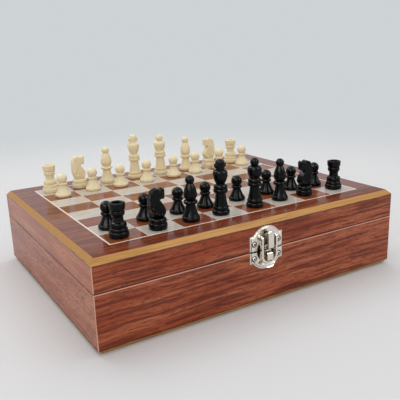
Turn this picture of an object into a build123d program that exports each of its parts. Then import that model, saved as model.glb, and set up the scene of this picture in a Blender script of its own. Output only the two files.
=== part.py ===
from build123d import *

import math
import os

# A chess box: a shallow wooden case whose lid carries a chessboard, held shut by a toggle latch
# and hung on two butt hinges, with a set of 32 turned chessmen standing on the board.
#
# Frame: +X to the right, +Y from the front to the back, +Z up.
# The origin is the middle of the case's underside. All sizes are in millimetres.

# ---------------------------------------------------------------- case
box_width = 220.0
box_depth = 172.0
box_height = 54.0
seam_height = 35.5  # middle of the gap between base and lid
seam_gap = 0.4
wall_thickness = 8.0
top_panel_thickness = 4.0
bottom_panel_thickness = 4.0
edge_chamfer = 3.0  # runs round the top and the bottom of the case
corner_round = 0.8  # upright corners

# ---------------------------------------------------------------- lining and storage insert
lining_thickness = 1.0
lining_clearance = 0.3
insert_height = 25.0
insert_rim = 9.0
insert_divider = 12.0
pocket_corner_radius = 7.0
thumb_notch_radius = 14.0
thumb_notch_depth = 9.0

# ---------------------------------------------------------------- butt hinges
hinge_spacing = 120.0  # middle to middle
hinge_length = 25.0
hinge_leaf_width = 7.0  # how far a leaf reaches in over the rim
hinge_leaf_thickness = 0.8
hinge_leaf_clearance = 0.1
knuckle_radius = 1.9
knuckle_count = 5
knuckle_gap = 0.2
knuckle_standoff = 0.2  # from the back of the case to the barrel
hinge_pin_radius = 0.8
hinge_pin_head_radius = 1.3
hinge_pin_head_height = 0.5
hinge_screw_spacing = 15.0

# ---------------------------------------------------------------- screws
screw_shank_radius = 0.75
screw_shank_length = 5.5
screw_head_radius = 1.5
screw_clearance = 0.05
overcut = 1.0  # how far a cutting shape runs past the face that it leaves by
latch_screw_head_radius = 1.7
latch_screw_head_height = 0.7
latch_screw_crown = 0.4
screw_cross_width = 0.45
screw_cross_depth = 0.35

# ---------------------------------------------------------------- toggle latch
# Heights are measured from the seam, and stand-offs from the front of the case.
latch_plate_thickness = 0.8
latch_half_width = 12.1
latch_shoulder_half_width = 9.6
upper_shoulder_height = 9.8
upper_plate_top = 14.9
lower_shoulder_height = 7.3
lower_plate_bottom = 12.3
latch_window_radius = 7.2  # round window across the seam, behind the loop
latch_bridge_half_width = 3.6  # strip left standing in the window
upper_screw_x = 9.0
upper_screw_height = 4.9
lower_screw_x = 9.3
lower_screw_height = 4.35

latch_sheet = 0.8
latch_pin_radius = 0.6
latch_pin_clearance = 0.05
latch_pin_head_radius = 1.0
latch_pin_head_height = 0.35
latch_side_clearance = 0.2
lever_width = 4.8
lever_bottom = 1.8
lever_top = 12.9
lever_face_standoff = 5.6
lever_back_standoff = 1.5
lever_flange_top = 9.8
lever_pivot_standoff = 2.8
lever_pivot_height = 3.0
loop_pivot_standoff = 2.2
loop_pivot_height = 8.0
ear_radius = 1.1
loop_inner_half_width = 4.9
loop_arm_depth = 2.4
loop_bar_top = 6.65  # below the seam
loop_bar_drop = 0.9
loop_tab_length = 3.4
loop_tab_flare = 28.0  # degrees
loop_corner_radius = 2.2
catch_width = 4.4
catch_top = 0.9
catch_underside = 6.2
catch_standoff = 4.5
catch_lip = 0.15  # how much lower the outer end of the underside is

# ---------------------------------------------------------------- chessboard
board_files = 8
board_ranks = 8
board_side_margin = 18.0
board_front_margin = 16.8
square_width = (box_width - 2 * board_side_margin) / board_files
square_depth = (box_depth - 2 * board_front_margin) / board_ranks

# ---------------------------------------------------------------- chessmen
# Heights are rises, each from the top of the band below it.
foot_radius = 5.45
foot_groove = 0.4
foot_height = 3.9
foot_swell = 0.3

ring_radius = 4.6
ring_height = 2.9
ring_swell = 0.35
stem_foot_radius = 4.35
stem_top_radius = 3.0
stem_hollow = 0.3
collar_radius = 4.15
collar_cup_height = 1.3
collar_cap_height = 1.2
cap_ring_radius = 3.45
cap_ring_height = 1.5
cap_ring_swell = 0.4
urn_foot_radius = 2.85
urn_foot_height = 0.6
urn_radius = 4.6
urn_swell = 0.5
urn_shoulder_height = 2.9
urn_shoulder_swell = 0.8

king_stem_height = 6.9
king_urn_height = 7.0
king_finial_neck_radius = 2.5
king_finial_radius = 2.9
king_finial_height = 2.2
king_dome_height = 4.1
king_arm_span = 7.8
king_arm_radius = 1.1
king_arm_end_chamfer = 0.4

queen_stem_height = 6.4
queen_urn_height = 6.6
queen_ball_neck_radius = 2.0
queen_ball_radius = 2.8

bishop_foot_height = 3.0
bishop_skirt_top_radius = 2.8
bishop_skirt_height = 9.0
bishop_skirt_hollow = 0.7
bishop_mitre_foot_radius = 3.0
bishop_mitre_radius = 4.2
bishop_mitre_swell = 0.5
bishop_mitre_lower_height = 3.1
bishop_mitre_upper_height = 6.6
bishop_ball_neck_radius = 1.8
bishop_ball_radius = 2.55

rook_foot_radius = 5.7
rook_foot_height = 2.8
rook_flare_height = 2.2
rook_drum_radius = 4.5
rook_drum_height = 2.8
rook_ledge_height = 0.4
rook_waist_radius = 3.3
rook_waist_height = 3.6
rook_waist_hollow = 0.3
rook_lip_height = 1.4
rook_turret_radius = 4.35
rook_turret_ring_height = 2.6
rook_crown_height = 4.2
rook_turret_swell = 0.3
rook_well_radius = 2.7
rook_well_depth = 2.6

pawn_foot_height = 2.2
pawn_skirt_top_radius = 2.6
pawn_skirt_height = 7.0
pawn_skirt_hollow = 0.6
pawn_collar_radius = 3.2
pawn_collar_height = 1.8
pawn_ball_neck_radius = 2.4
pawn_ball_radius = 3.3

knight_plinth_height = 3.0
knight_plinth_swell = 0.25
knight_head_height = 17.7
knight_head_length = 8.8
knight_muzzle_depth = 6.4
knight_chest_height = 4.0
knight_chest_thickness = 7.0
knight_poll_thickness = 4.8
knight_sink = 0.5  # how far the neck is let into the plinth
knight_root_share = 0.75  # of half the head's length, at the plinth
knight_breast_share = 1.1
knight_throat_share = 0.4
knight_chest_swell = 1.15  # of half the chest's thickness
knight_lip_radius = 0.9
knight_nose_height = 1.3  # below the ears, as the next two are
knight_brow_height = 0.4
knight_forehead_height = 0.8
knight_nape_height = 1.4

# How far each man stands from the middle of its square, (x, y), file by file.
back_rank_order = ["rook", "knight", "bishop", "king", "queen", "bishop", "knight", "rook"]
black_back_offsets = [(-2.5, 0), (-1.5, -1), (-1.5, 0.5), (-3, 0.5), (0, 0.5), (-0.5, 3), (-3, 2), (1, 2)]
black_pawn_offsets = [(-2, 0), (0, 1.5), (0, 1.5), (-2.5, 2), (0, 3), (2.5, 4), (-0.5, 1.5), (-3, 0.5)]
white_back_offsets = [(-2.5, 1), (-4, -1), (-4, 1), (-3.5, 1), (-3.5, 1), (-4, -1), (-5, -1.5), (-5, -1)]
white_pawn_offsets = [(0.5, -0.5), (1.5, 3.5), (-0.5, 1), (-1, 2), (0, 3), (-2.5, 3.5), (-2.5, 3), (-2.5, 3)]

# ---------------------------------------------------------------- worked-out places
front_face = -box_depth / 2
back_face = box_depth / 2
base_rim = seam_height - seam_gap / 2
lid_rim = seam_height + seam_gap / 2
cavity_width = box_width - 2 * wall_thickness
cavity_depth = box_depth - 2 * wall_thickness
lid_ceiling = box_height - top_panel_thickness
hinge_axis_y = back_face + knuckle_standoff + knuckle_radius
BLACK_RANK = 0
WHITE_RANK = board_ranks - 1


# ================================================================ helpers
def block(x_low, x_high, y_low, y_high, z_low, z_high):
    """A plain box between six planes."""
    middle = Pos((x_low + x_high) / 2, (y_low + y_high) / 2, (z_low + z_high) / 2)
    return middle * Box(x_high - x_low, y_high - y_low, z_high - z_low)


def rod(radius, start, end):
    """A round bar from one point to another."""
    run = Vector(*end) - Vector(*start)
    return extrude(Plane(origin=start, z_dir=run) * Circle(radius), run.length)


def profile_along_x(points, x_low, x_high):
    """A prism with a closed outline of (y, z) points, between two x planes."""
    outline = make_face(Polyline(*[(x_low, y, z) for y, z in points], close=True))
    return extrude(outline, x_high - x_low, dir=(1, 0, 0))


def mirrored_pair(piece):
    """A piece and its mirror image across the middle of the box."""
    return piece + mirror(piece, Plane.YZ)


# ================================================================ case
def case_envelope():
    """The outside of the closed case, with its chamfers and its eased upright corners."""
    outside = block(-box_width / 2, box_width / 2, front_face, back_face, 0, box_height)
    level = outside.edges().filter_by(Axis.Z, reverse=True)
    chamfered = chamfer(level, edge_chamfer)
    plan = RectangleRounded(box_width, box_depth, corner_round)
    return chamfered & extrude(plan, box_height)


def mitred_wall(side, z_low, z_high):
    """One of the four walls of a frame, cut at 45 degrees at both ends."""
    along, across = (box_width, box_depth) if side in ("front", "back") else (box_depth, box_width)
    outer, inner = along / 2, along / 2 - wall_thickness
    edge = -across / 2
    plan = make_face(
        Polyline(
            (-outer, edge), (outer, edge), (inner, edge + wall_thickness), (-inner, edge + wall_thickness),
            close=True,
        )
    )
    turn = {"front": 0, "right": 90, "back": 180, "left": 270}[side]
    return Pos(0, 0, z_low) * (Rot(0, 0, turn) * extrude(plan, z_high - z_low))


def frame_walls(prefix, z_low, z_high, envelope):
    """The four walls of the base or of the lid."""
    walls = {}
    for side in ("front", "back", "left", "right"):
        walls[f"{prefix}_{side}_wall"] = mitred_wall(side, z_low, z_high) & envelope
    return walls


def panel(z_low, z_high, envelope):
    """The board that closes the base or the lid."""
    slab = block(-box_width / 2, box_width / 2, front_face, back_face, z_low, z_high)
    return slab & envelope


def lining(z_low):
    """A felt sheet that lies inside the walls."""
    width = cavity_width - 2 * lining_clearance
    depth = cavity_depth - 2 * lining_clearance
    return Pos(0, 0, z_low) * extrude(Rectangle(width, depth), lining_thickness)


def foam_insert():
    """The foam block with one pocket for each colour and a thumb notch in the bar between them."""
    width = cavity_width - 2 * lining_clearance
    depth = cavity_depth - 2 * lining_clearance
    floor = bottom_panel_thickness + lining_thickness
    top = floor + insert_height
    pocket_width = (width - 2 * insert_rim - insert_divider) / 2
    pocket_depth = depth - 2 * insert_rim
    pocket = extrude(RectangleRounded(pocket_width, pocket_depth, pocket_corner_radius), insert_height)
    pocket_x = (insert_divider + pocket_width) / 2
    foam = Pos(0, 0, floor) * extrude(Rectangle(width, depth), insert_height)
    foam -= mirrored_pair(Pos(pocket_x, 0, floor) * pocket)
    notch_centre = top + thumb_notch_radius - thumb_notch_depth
    notch = rod(thumb_notch_radius, (-insert_divider, 0, notch_centre), (insert_divider, 0, notch_centre))
    return foam - notch


# ================================================================ hinges
def knuckle_spans(of_base):
    """The (low, high) stretches of the barrel that belong to one leaf, from the middle of the hinge."""
    pitch = hinge_length / knuckle_count
    spans = []
    for index in range(knuckle_count):
        if (index % 2 == 0) == of_base:
            low = -hinge_length / 2 + index * pitch
            spans.append((low + knuckle_gap / 2, low + pitch - knuckle_gap / 2))
    return spans


def barrel_piece(radius, low, high):
    """A round stretch of the hinge line."""
    return rod(radius, (low, hinge_axis_y, seam_height), (high, hinge_axis_y, seam_height))


def hinge_leaf(of_base):
    """One leaf of a butt hinge, let into the rim, with its share of the barrel."""
    half = hinge_length / 2
    if of_base:
        z_low, z_high = base_rim - hinge_leaf_thickness, base_rim
    else:
        z_low, z_high = lid_rim, lid_rim + hinge_leaf_thickness
    leaf = block(-half, half, back_face - hinge_leaf_width, hinge_axis_y, z_low, z_high)
    for low, high in knuckle_spans(not of_base):
        leaf -= barrel_piece(knuckle_radius + knuckle_gap, low - knuckle_gap, high + knuckle_gap)
    for low, high in knuckle_spans(of_base):
        leaf += barrel_piece(knuckle_radius, low, high)
    leaf -= barrel_piece(hinge_pin_radius + screw_clearance, -half - overcut, half + overcut)
    for x, y in hinge_screw_places():
        hole = countersunk_screw(screw_clearance)
        leaf -= Pos(x, y, 0) * hinge_screw_seat(of_base) * hole
    return leaf


def hinge_screw_places():
    """The two screw positions on a leaf, from the middle of the hinge."""
    y = back_face - hinge_leaf_width / 2
    return [(-hinge_screw_spacing / 2, y), (hinge_screw_spacing / 2, y)]


def hinge_screw_seat(of_base):
    """Where a leaf screw's head lies: flush with the leaf, pointing into the wood."""
    return Pos(0, 0, base_rim) if of_base else Pos(0, 0, lid_rim) * Rot(180, 0, 0)


def countersunk_screw(grow=0.0):
    """A flat-headed wood screw with its head's top at z 0 and its point down, or a hole for it."""
    head_depth = screw_head_radius - screw_shank_radius
    head = Pos(0, 0, -head_depth / 2) * Cone(screw_shank_radius + grow, screw_head_radius + grow, head_depth)
    shank = rod(screw_shank_radius + grow, (0, 0, -head_depth), (0, 0, -screw_shank_length - grow))
    return head + shank


def cross_recess(z):
    """The cross that a driver turns, sunk from the height z."""
    reach = screw_head_radius
    half_width = screw_cross_width / 2
    slot = block(-reach / 2, reach / 2, -half_width, half_width, z - screw_cross_depth, z + overcut)
    return slot + Rot(0, 0, 90) * slot


def hinge_places():
    """The x of the middle of each hinge."""
    return {"left": -hinge_spacing / 2, "right": hinge_spacing / 2}


def hinge_screws(of_base):
    """All the screws that hold the leaves to the base or to the lid."""
    screw = countersunk_screw() - cross_recess(0)
    screws = []
    for middle in hinge_places().values():
        for x, y in hinge_screw_places():
            screws.append(Pos(middle + x, y, 0) * hinge_screw_seat(of_base) * screw)
    return Compound(children=screws)


def hinge_pins():
    """The two headed pins that the barrels turn on."""
    half = hinge_length / 2
    head = half + hinge_pin_head_height
    pin = barrel_piece(hinge_pin_radius, -half, half)
    pin += mirrored_pair(barrel_piece(hinge_pin_head_radius, half, head))
    return Compound(children=[Pos(x, 0, 0) * pin for x in hinge_places().values()])


def cut_hinge_seats(back_wall, of_base):
    """Lets the leaves and their screws into the rim of a back wall."""
    half = hinge_length / 2 + hinge_leaf_clearance
    inner = back_face - hinge_leaf_width - hinge_leaf_clearance
    if of_base:
        z_low, z_high = base_rim - hinge_leaf_thickness, base_rim
    else:
        z_low, z_high = lid_rim, lid_rim + hinge_leaf_thickness
    for middle in hinge_places().values():
        back_wall -= block(middle - half, middle + half, inner, back_face, z_low, z_high)
        for x, y in hinge_screw_places():
            seat = Pos(middle + x, y, 0) * hinge_screw_seat(of_base)
            back_wall -= seat * countersunk_screw(screw_clearance)
    return back_wall


# ================================================================ toggle latch
def at_latch(standoff, height):
    """The (y, z) of a point of the latch, from its stand-off and its height above the seam."""
    return front_face - standoff, seam_height + height


def latch_plate_outline(shoulder, crown, rim):
    """Half of the latch's escutcheon as a face in (x, height), with square shoulders and a round end."""
    left, right = (-latch_shoulder_half_width, shoulder), (latch_shoulder_half_width, shoulder)
    sides = Polyline(
        left, (-latch_half_width, shoulder), (-latch_half_width, rim),
        (latch_half_width, rim), (latch_half_width, shoulder), right,
    )
    return make_face(sides + ThreePointArc(right, (0, crown), left))


def latch_plate(shoulder, crown, rim, screw_x, screw_height):
    """A stamped plate of the latch, with its half of the round window and its two screw holes."""
    face = latch_plate_outline(shoulder, crown, rim)
    window = Circle(latch_window_radius) - Rectangle(2 * latch_bridge_half_width, 4 * latch_window_radius)
    face -= window
    for side in (-1, 1):
        face -= Pos(side * screw_x, screw_height) * Circle(screw_shank_radius + screw_clearance)
    return Plane(origin=(0, front_face, seam_height), x_dir=(1, 0, 0), z_dir=(0, -1, 0)) * extrude(
        face, latch_plate_thickness
    )


def latch_pivot(radius, standoff, height, half_length):
    """A pin or hole across the latch."""
    y, z = at_latch(standoff, height)
    return rod(radius, (-half_length, y, z), (half_length, y, z))


def headed_pin(standoff, height, grip):
    """A rivet pin across the latch, with a flat head beyond its grip at each end."""
    reach = grip + latch_pin_head_height
    y, z = at_latch(standoff, height)
    head = rod(latch_pin_head_radius, (grip, y, z), (reach, y, z))
    return latch_pivot(latch_pin_radius, standoff, height, grip) + mirrored_pair(head)


ear_inner = lever_width / 2 + latch_side_clearance
ear_outer = ear_inner + latch_sheet
loop_outer_half_width = loop_inner_half_width + latch_sheet


def latch_upper_plate():
    """The lid's plate, with the two ears that carry the lever."""
    plate = latch_plate(
        upper_shoulder_height, upper_plate_top, seam_gap / 2, upper_screw_x, upper_screw_height
    )
    y, z = at_latch(lever_pivot_standoff, lever_pivot_height)
    foot_y, _ = at_latch(0, 0)
    ear = rod(ear_radius, (ear_inner, y, z), (ear_outer, y, z))
    ear += block(ear_inner, ear_outer, y, foot_y, z - ear_radius, z + ear_radius)
    bore = latch_pin_radius + latch_pin_clearance
    hole = latch_pivot(bore, lever_pivot_standoff, lever_pivot_height, loop_outer_half_width)
    return plate + mirrored_pair(ear) - hole


def latch_lever():
    """The finger lever: a channel with a round-topped face and two flanges that the pins go through."""
    half = lever_width / 2
    spring_line = lever_top - half
    front = front_face - lever_face_standoff
    back = front_face - lever_back_standoff

    def tombstone(inset):
        left, right = (-half + inset, spring_line), (half - inset, spring_line)
        sides = Polyline(left, (-half + inset, lever_bottom + inset), (half - inset, lever_bottom + inset), right)
        return make_face(sides + ThreePointArc(right, (0, lever_top - inset), left))

    def upright(face, from_y, to_y):
        plane = Plane(origin=(0, from_y, seam_height), x_dir=(1, 0, 0), z_dir=(0, -1, 0))
        return plane * extrude(face, from_y - to_y)

    body = upright(tombstone(0), back, front)
    body -= upright(tombstone(latch_sheet), back + overcut, front + latch_sheet)
    flange_slope = [
        at_latch(lever_back_standoff - overcut, lever_flange_top),
        at_latch(lever_face_standoff - 2 * latch_sheet, lever_top - latch_sheet),
        at_latch(lever_face_standoff - 2 * latch_sheet, lever_top + overcut),
        at_latch(lever_back_standoff - overcut, lever_top + overcut),
    ]
    body -= profile_along_x(flange_slope, -half - overcut, half + overcut)
    heel = [
        at_latch(lever_back_standoff - overcut, lever_bottom - overcut),
        at_latch(lever_back_standoff - overcut, lever_bottom + latch_sheet),
        at_latch(lever_face_standoff - 2 * latch_sheet, lever_bottom + latch_sheet),
        at_latch(lever_face_standoff - latch_sheet, lever_bottom - overcut),
    ]
    body -= profile_along_x(heel, -half + latch_sheet, half - latch_sheet)
    for standoff, height in (
        (lever_pivot_standoff, lever_pivot_height),
        (loop_pivot_standoff, loop_pivot_height),
    ):
        body -= latch_pivot(latch_pin_radius + latch_pin_clearance, standoff, height, half + overcut)
    return body


def latch_loop():
    """The loop: two arms hung on the lever, joined below by a bar that flares out into a tab."""
    y, z = at_latch(loop_pivot_standoff, loop_pivot_height)
    half_depth = loop_arm_depth / 2
    bar_top = seam_height - loop_bar_top
    arm_foot = bar_top - loop_bar_drop
    inner, outer = loop_inner_half_width, loop_outer_half_width
    arm = rod(half_depth, (inner, y, z), (outer, y, z))
    arm += block(inner, outer, y - half_depth, y + half_depth, arm_foot, z)
    bar = block(-outer, outer, y - latch_sheet / 2, y + latch_sheet / 2, arm_foot, bar_top)
    tab_face = RectangleRounded(2 * outer, 2 * loop_tab_length, loop_corner_radius)
    tab_face &= Pos(0, -loop_tab_length / 2) * Rectangle(2 * outer, loop_tab_length)
    tab = Pos(0, latch_sheet / 2, 0) * Rot(90, 0, 0) * extrude(tab_face, latch_sheet)
    tab = Pos(0, y, arm_foot) * Rot(-loop_tab_flare, 0, 0) * tab
    loop = mirrored_pair(arm) + bar + tab
    hole = latch_pivot(
        latch_pin_radius + latch_pin_clearance, loop_pivot_standoff, loop_pivot_height, outer + overcut
    )
    return loop - hole


def latch_catch_plate():
    """The base's plate, with the catch that the loop hooks under."""
    plate = latch_plate(
        -lower_shoulder_height, -lower_plate_bottom, -seam_gap / 2, lower_screw_x, -lower_screw_height
    )
    catch = [
        at_latch(0, -catch_top - latch_sheet),
        at_latch(catch_standoff / 2, -catch_top),
        at_latch(catch_standoff, -catch_top),
        at_latch(catch_standoff, -catch_underside - catch_lip),
        at_latch(0, -catch_underside),
    ]
    return plate + profile_along_x(catch, -catch_width / 2, catch_width / 2)


def pan_screw(grow=0.0):
    """A round-headed screw, its head's seat at y 0 and its point towards +Y."""
    shank = rod(screw_shank_radius + grow, (0, 0, 0), (0, screw_shank_length, 0))
    if grow:
        return shank
    head = Rot(90, 0, 0) * extrude(Circle(latch_screw_head_radius), latch_screw_head_height)
    crown = head.edges().sort_by(Axis.Y)[0]
    head = chamfer(crown, latch_screw_crown)
    recess = Rot(90, 0, 0) * cross_recess(latch_screw_head_height)
    return shank + head - recess


def latch_screws(screw_x, height):
    """The two screws of one latch plate."""
    y, z = at_latch(latch_plate_thickness, height)
    return Compound(children=[Pos(side * screw_x, y, z) * pan_screw() for side in (-1, 1)])


def cut_latch_holes(wall, screw_x, height):
    """Drills a front wall for the screws of a latch plate."""
    y, z = at_latch(latch_plate_thickness, height)
    for side in (-1, 1):
        wall -= Pos(side * screw_x, y, z) * pan_screw(screw_clearance)
    return wall


# ================================================================ chessmen
class Turning:
    """Half of a lathe profile, drawn upwards from the foot and then spun about Z."""

    def __init__(self, radius):
        self.edges = [Line((0, 0), (radius, 0))]
        self.radius = radius
        self.height = 0.0

    def add(self, edge, radius, height):
        """Takes the next edge of the outline and moves the pen to its end."""
        self.edges.append(edge)
        self.radius, self.height = radius, height
        return self

    def line(self, radius, rise=0.0):
        """A straight cut to a radius, so much higher."""
        end = (radius, self.height + rise)
        return self.add(Line((self.radius, self.height), end), *end)

    def bow(self, radius, rise, swell):
        """A curve to a radius, so much higher, which swells outwards, or inwards if negative."""
        start = Vector(self.radius, self.height)
        end = Vector(radius, self.height + rise)
        run = end - start
        outwards = Vector(run.Y, -run.X).normalized()
        control = (start + end) / 2 + outwards * (2 * swell)
        return self.add(Bezier(start, control, end), radius, self.height + rise)

    def dome(self, rise, fullness=0.6):
        """The rounded top: a curve that leaves upwards and meets the axis level."""
        top = self.height + rise
        points = [
            (self.radius, self.height),
            (self.radius, self.height + fullness * rise),
            (fullness * self.radius, top),
            (0, top),
        ]
        return self.add(Bezier(*points), 0.0, top)

    def ball(self, radius):
        """The ball on top: a curve round a centre on the axis, from the neck to the top."""
        drop = math.sqrt(radius**2 - self.radius**2)
        turn = math.pi / 2 + math.atan2(drop, self.radius)
        reach = 4 / 3 * math.tan(turn / 4)
        top = self.height + drop + radius
        points = [
            (self.radius, self.height),
            (self.radius + reach * drop, self.height + reach * self.radius),
            (reach * radius, top),
            (0, top),
        ]
        return self.add(Bezier(*points), 0.0, top)

    def spin(self):
        """The turned solid."""
        outline = list(self.edges)
        if self.radius > 0:
            outline.append(Line((self.radius, self.height), (0, self.height)))
        outline.append(Line((0, self.height), (0, 0)))
        face = make_face(Plane.XZ * Curve(children=outline))
        return revolve(face, Axis.Z)


def turned_foot(radius=foot_radius, height=foot_height):
    """The foot that every man stands on: a rounded band with a groove above it."""
    edge = radius - foot_groove / 2
    return Turning(edge).bow(edge, height, foot_swell).line(radius - 2 * foot_groove)


def cup_collar(turning):
    """A collar that is round below and flatter above, as on the king, the queen and the bishop."""
    turning.bow(collar_radius, collar_cup_height, foot_swell)
    return turning.bow(cap_ring_radius, collar_cap_height, foot_swell / 2)


def royal_body(stem_height, urn_height, finial_neck_radius):
    """Foot, ring, tapering stem, double collar and urn-shaped head, as on the king and the queen."""
    turning = turned_foot().bow(ring_radius, ring_height, ring_swell)
    turning.line(stem_foot_radius).bow(stem_top_radius, stem_height, -stem_hollow)
    cup_collar(turning).bow(cap_ring_radius, cap_ring_height, cap_ring_swell)
    turning.line(urn_foot_radius, urn_foot_height).bow(urn_radius, urn_height, urn_swell)
    return turning.bow(finial_neck_radius, urn_shoulder_height, urn_shoulder_swell)


def king():
    """The king, with a stubby plain cross on its head."""
    turning = royal_body(king_stem_height, king_urn_height, king_finial_neck_radius)
    turning.line(king_finial_radius, king_finial_height)
    half, arm_height = king_arm_span / 2, turning.height
    arms = rod(king_arm_radius, (-half, 0, arm_height), (half, 0, arm_height))
    arms = chamfer(arms.edges().filter_by(GeomType.CIRCLE), king_arm_end_chamfer)
    return turning.dome(king_dome_height).spin() + arms


def queen():
    """The queen, with a ball on her head."""
    turning = royal_body(queen_stem_height, queen_urn_height, queen_ball_neck_radius)
    return turning.ball(queen_ball_radius).spin()


def bishop():
    """The bishop: a hollow skirt, one collar, a drop-shaped mitre and a ball."""
    turning = turned_foot(foot_radius, bishop_foot_height)
    turning.bow(bishop_skirt_top_radius, bishop_skirt_height, -bishop_skirt_hollow)
    cup_collar(turning).line(bishop_mitre_foot_radius)
    turning.bow(bishop_mitre_radius, bishop_mitre_lower_height, bishop_mitre_swell)
    turning.bow(bishop_ball_neck_radius, bishop_mitre_upper_height, bishop_mitre_swell)
    return turning.ball(bishop_ball_radius).spin()


def rook():
    """The rook: a flared foot, a drum, a waist and a hollow-topped turret."""
    turning = turned_foot(rook_foot_radius, rook_foot_height)
    turning.bow(rook_drum_radius, rook_flare_height, -rook_waist_hollow)
    turning.bow(rook_drum_radius, rook_drum_height, rook_turret_swell)
    turning.line(rook_waist_radius, rook_ledge_height)
    turning.bow(rook_waist_radius, rook_waist_height, -rook_waist_hollow)
    turning.line(rook_turret_radius, rook_lip_height)
    turning.bow(rook_turret_radius, rook_turret_ring_height, rook_turret_swell)
    turning.bow(rook_turret_radius, rook_crown_height, rook_turret_swell)
    top = turning.height
    well = rod(rook_well_radius, (0, 0, top - rook_well_depth), (0, 0, top + overcut))
    return turning.spin() - well


def pawn():
    """The pawn: a low foot, a hollow skirt, a collar and a ball."""
    turning = turned_foot(foot_radius, pawn_foot_height)
    turning.bow(pawn_skirt_top_radius, pawn_skirt_height, -pawn_skirt_hollow)
    turning.bow(pawn_skirt_top_radius, pawn_collar_height, pawn_collar_radius - pawn_skirt_top_radius)
    return turning.line(pawn_ball_neck_radius).ball(pawn_ball_radius).spin()


def knight_side_view(foot, top):
    """The horse's head and neck from the side, facing +X, between two heights."""
    front, back = knight_head_length / 2, -knight_head_length / 2
    chest = foot + knight_chest_height
    chin = top - knight_muzzle_depth
    root, breast, throat = knight_root_share, knight_breast_share * front, knight_throat_share * front
    lip, nose = chin + knight_lip_radius, top - knight_nose_height
    brow, forehead, nape = top - knight_brow_height, top - knight_forehead_height, top - knight_nape_height
    outline = [
        Line((root * back, foot), (root * front, foot)),
        ThreePointArc((root * front, foot), (front, (foot + chest) / 2), (breast, chest)),
        ThreePointArc((breast, chest), (0.85 * front, (chest + chin) / 2), (throat, chin)),
        Line((throat, chin), (0.8 * front, chin)),
        ThreePointArc((0.8 * front, chin), (0.95 * front, chin + 0.25), (front, lip)),
        Line((front, lip), (front, nose)),
        ThreePointArc((front, nose), (0.9 * front, top - 0.6), (0.6 * front, brow)),
        Line((0.6 * front, brow), (0.15 * front, forehead)),
        ThreePointArc((0.15 * front, forehead), (0.4 * back, top), (0.9 * back, nape)),
        ThreePointArc((0.9 * back, nape), (1.08 * back, (chest + chin) / 2), (root * back, foot)),
    ]
    return make_face(Plane.XZ * Curve(children=outline))


def knight_front_view(foot, top):
    """The limits of the horse's head from the front: slim at the poll, wide at the chest."""
    poll, chest = knight_poll_thickness / 2, knight_chest_thickness / 2
    chin, swell = top - knight_muzzle_depth, knight_chest_swell * chest
    outline = [
        Line((-chest, foot), (chest, foot)),
        Bezier((chest, foot), (swell, foot + knight_chest_height), (poll, chin)),
        Line((poll, chin), (poll, top)),
        Line((poll, top), (-poll, top)),
        Line((-poll, top), (-poll, chin)),
        Bezier((-poll, chin), (-swell, foot + knight_chest_height), (-chest, foot)),
    ]
    return make_face(Plane.YZ * Curve(children=outline))


def knight():
    """The knight: a carved horse's head on a turned plinth, facing +X."""
    turning = turned_foot()
    turning.bow(turning.radius, knight_plinth_height, knight_plinth_swell)
    foot = turning.height - knight_sink
    top = turning.height + knight_head_height
    side = extrude(knight_side_view(foot, top), knight_chest_thickness, both=True)
    front = extrude(knight_front_view(foot, top), knight_head_length, both=True)
    return turning.spin() + (side & front)


def square_middle(file_index, rank_index):
    """The middle of a square, from the front left corner of the board."""
    x = (file_index - (board_files - 1) / 2) * square_width
    y = (rank_index - (board_ranks - 1) / 2) * square_depth
    return x, y


def stand(man, file_index, rank_index, offset, facing=0.0):
    """A man on its square, on top of the lid."""
    x, y = square_middle(file_index, rank_index)
    return Pos(x + offset[0], y + offset[1], box_height) * Rot(0, 0, facing) * man


def army(colour, back_rank, pawn_rank, back_offsets, pawn_offsets):
    """The sixteen men of one colour, each in a node of its own."""
    shapes = {"rook": rook(), "knight": knight(), "bishop": bishop(), "king": king(), "queen": queen()}
    men = {}
    for file_index, kind in enumerate(back_rank_order):
        side = "left" if file_index < board_files / 2 else "right"
        name = f"{colour}_{kind}" if kind in ("king", "queen") else f"{colour}_{kind}_{side}"
        facing = 180.0 if kind == "knight" and side == "right" else 0.0
        men[name] = stand(shapes[kind], file_index, back_rank, back_offsets[file_index], facing)
    foot_soldier = pawn()
    for file_index in range(board_files):
        men[f"{colour}_pawn_{file_index + 1}"] = stand(
            foot_soldier, file_index, pawn_rank, pawn_offsets[file_index]
        )
    return men


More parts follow.
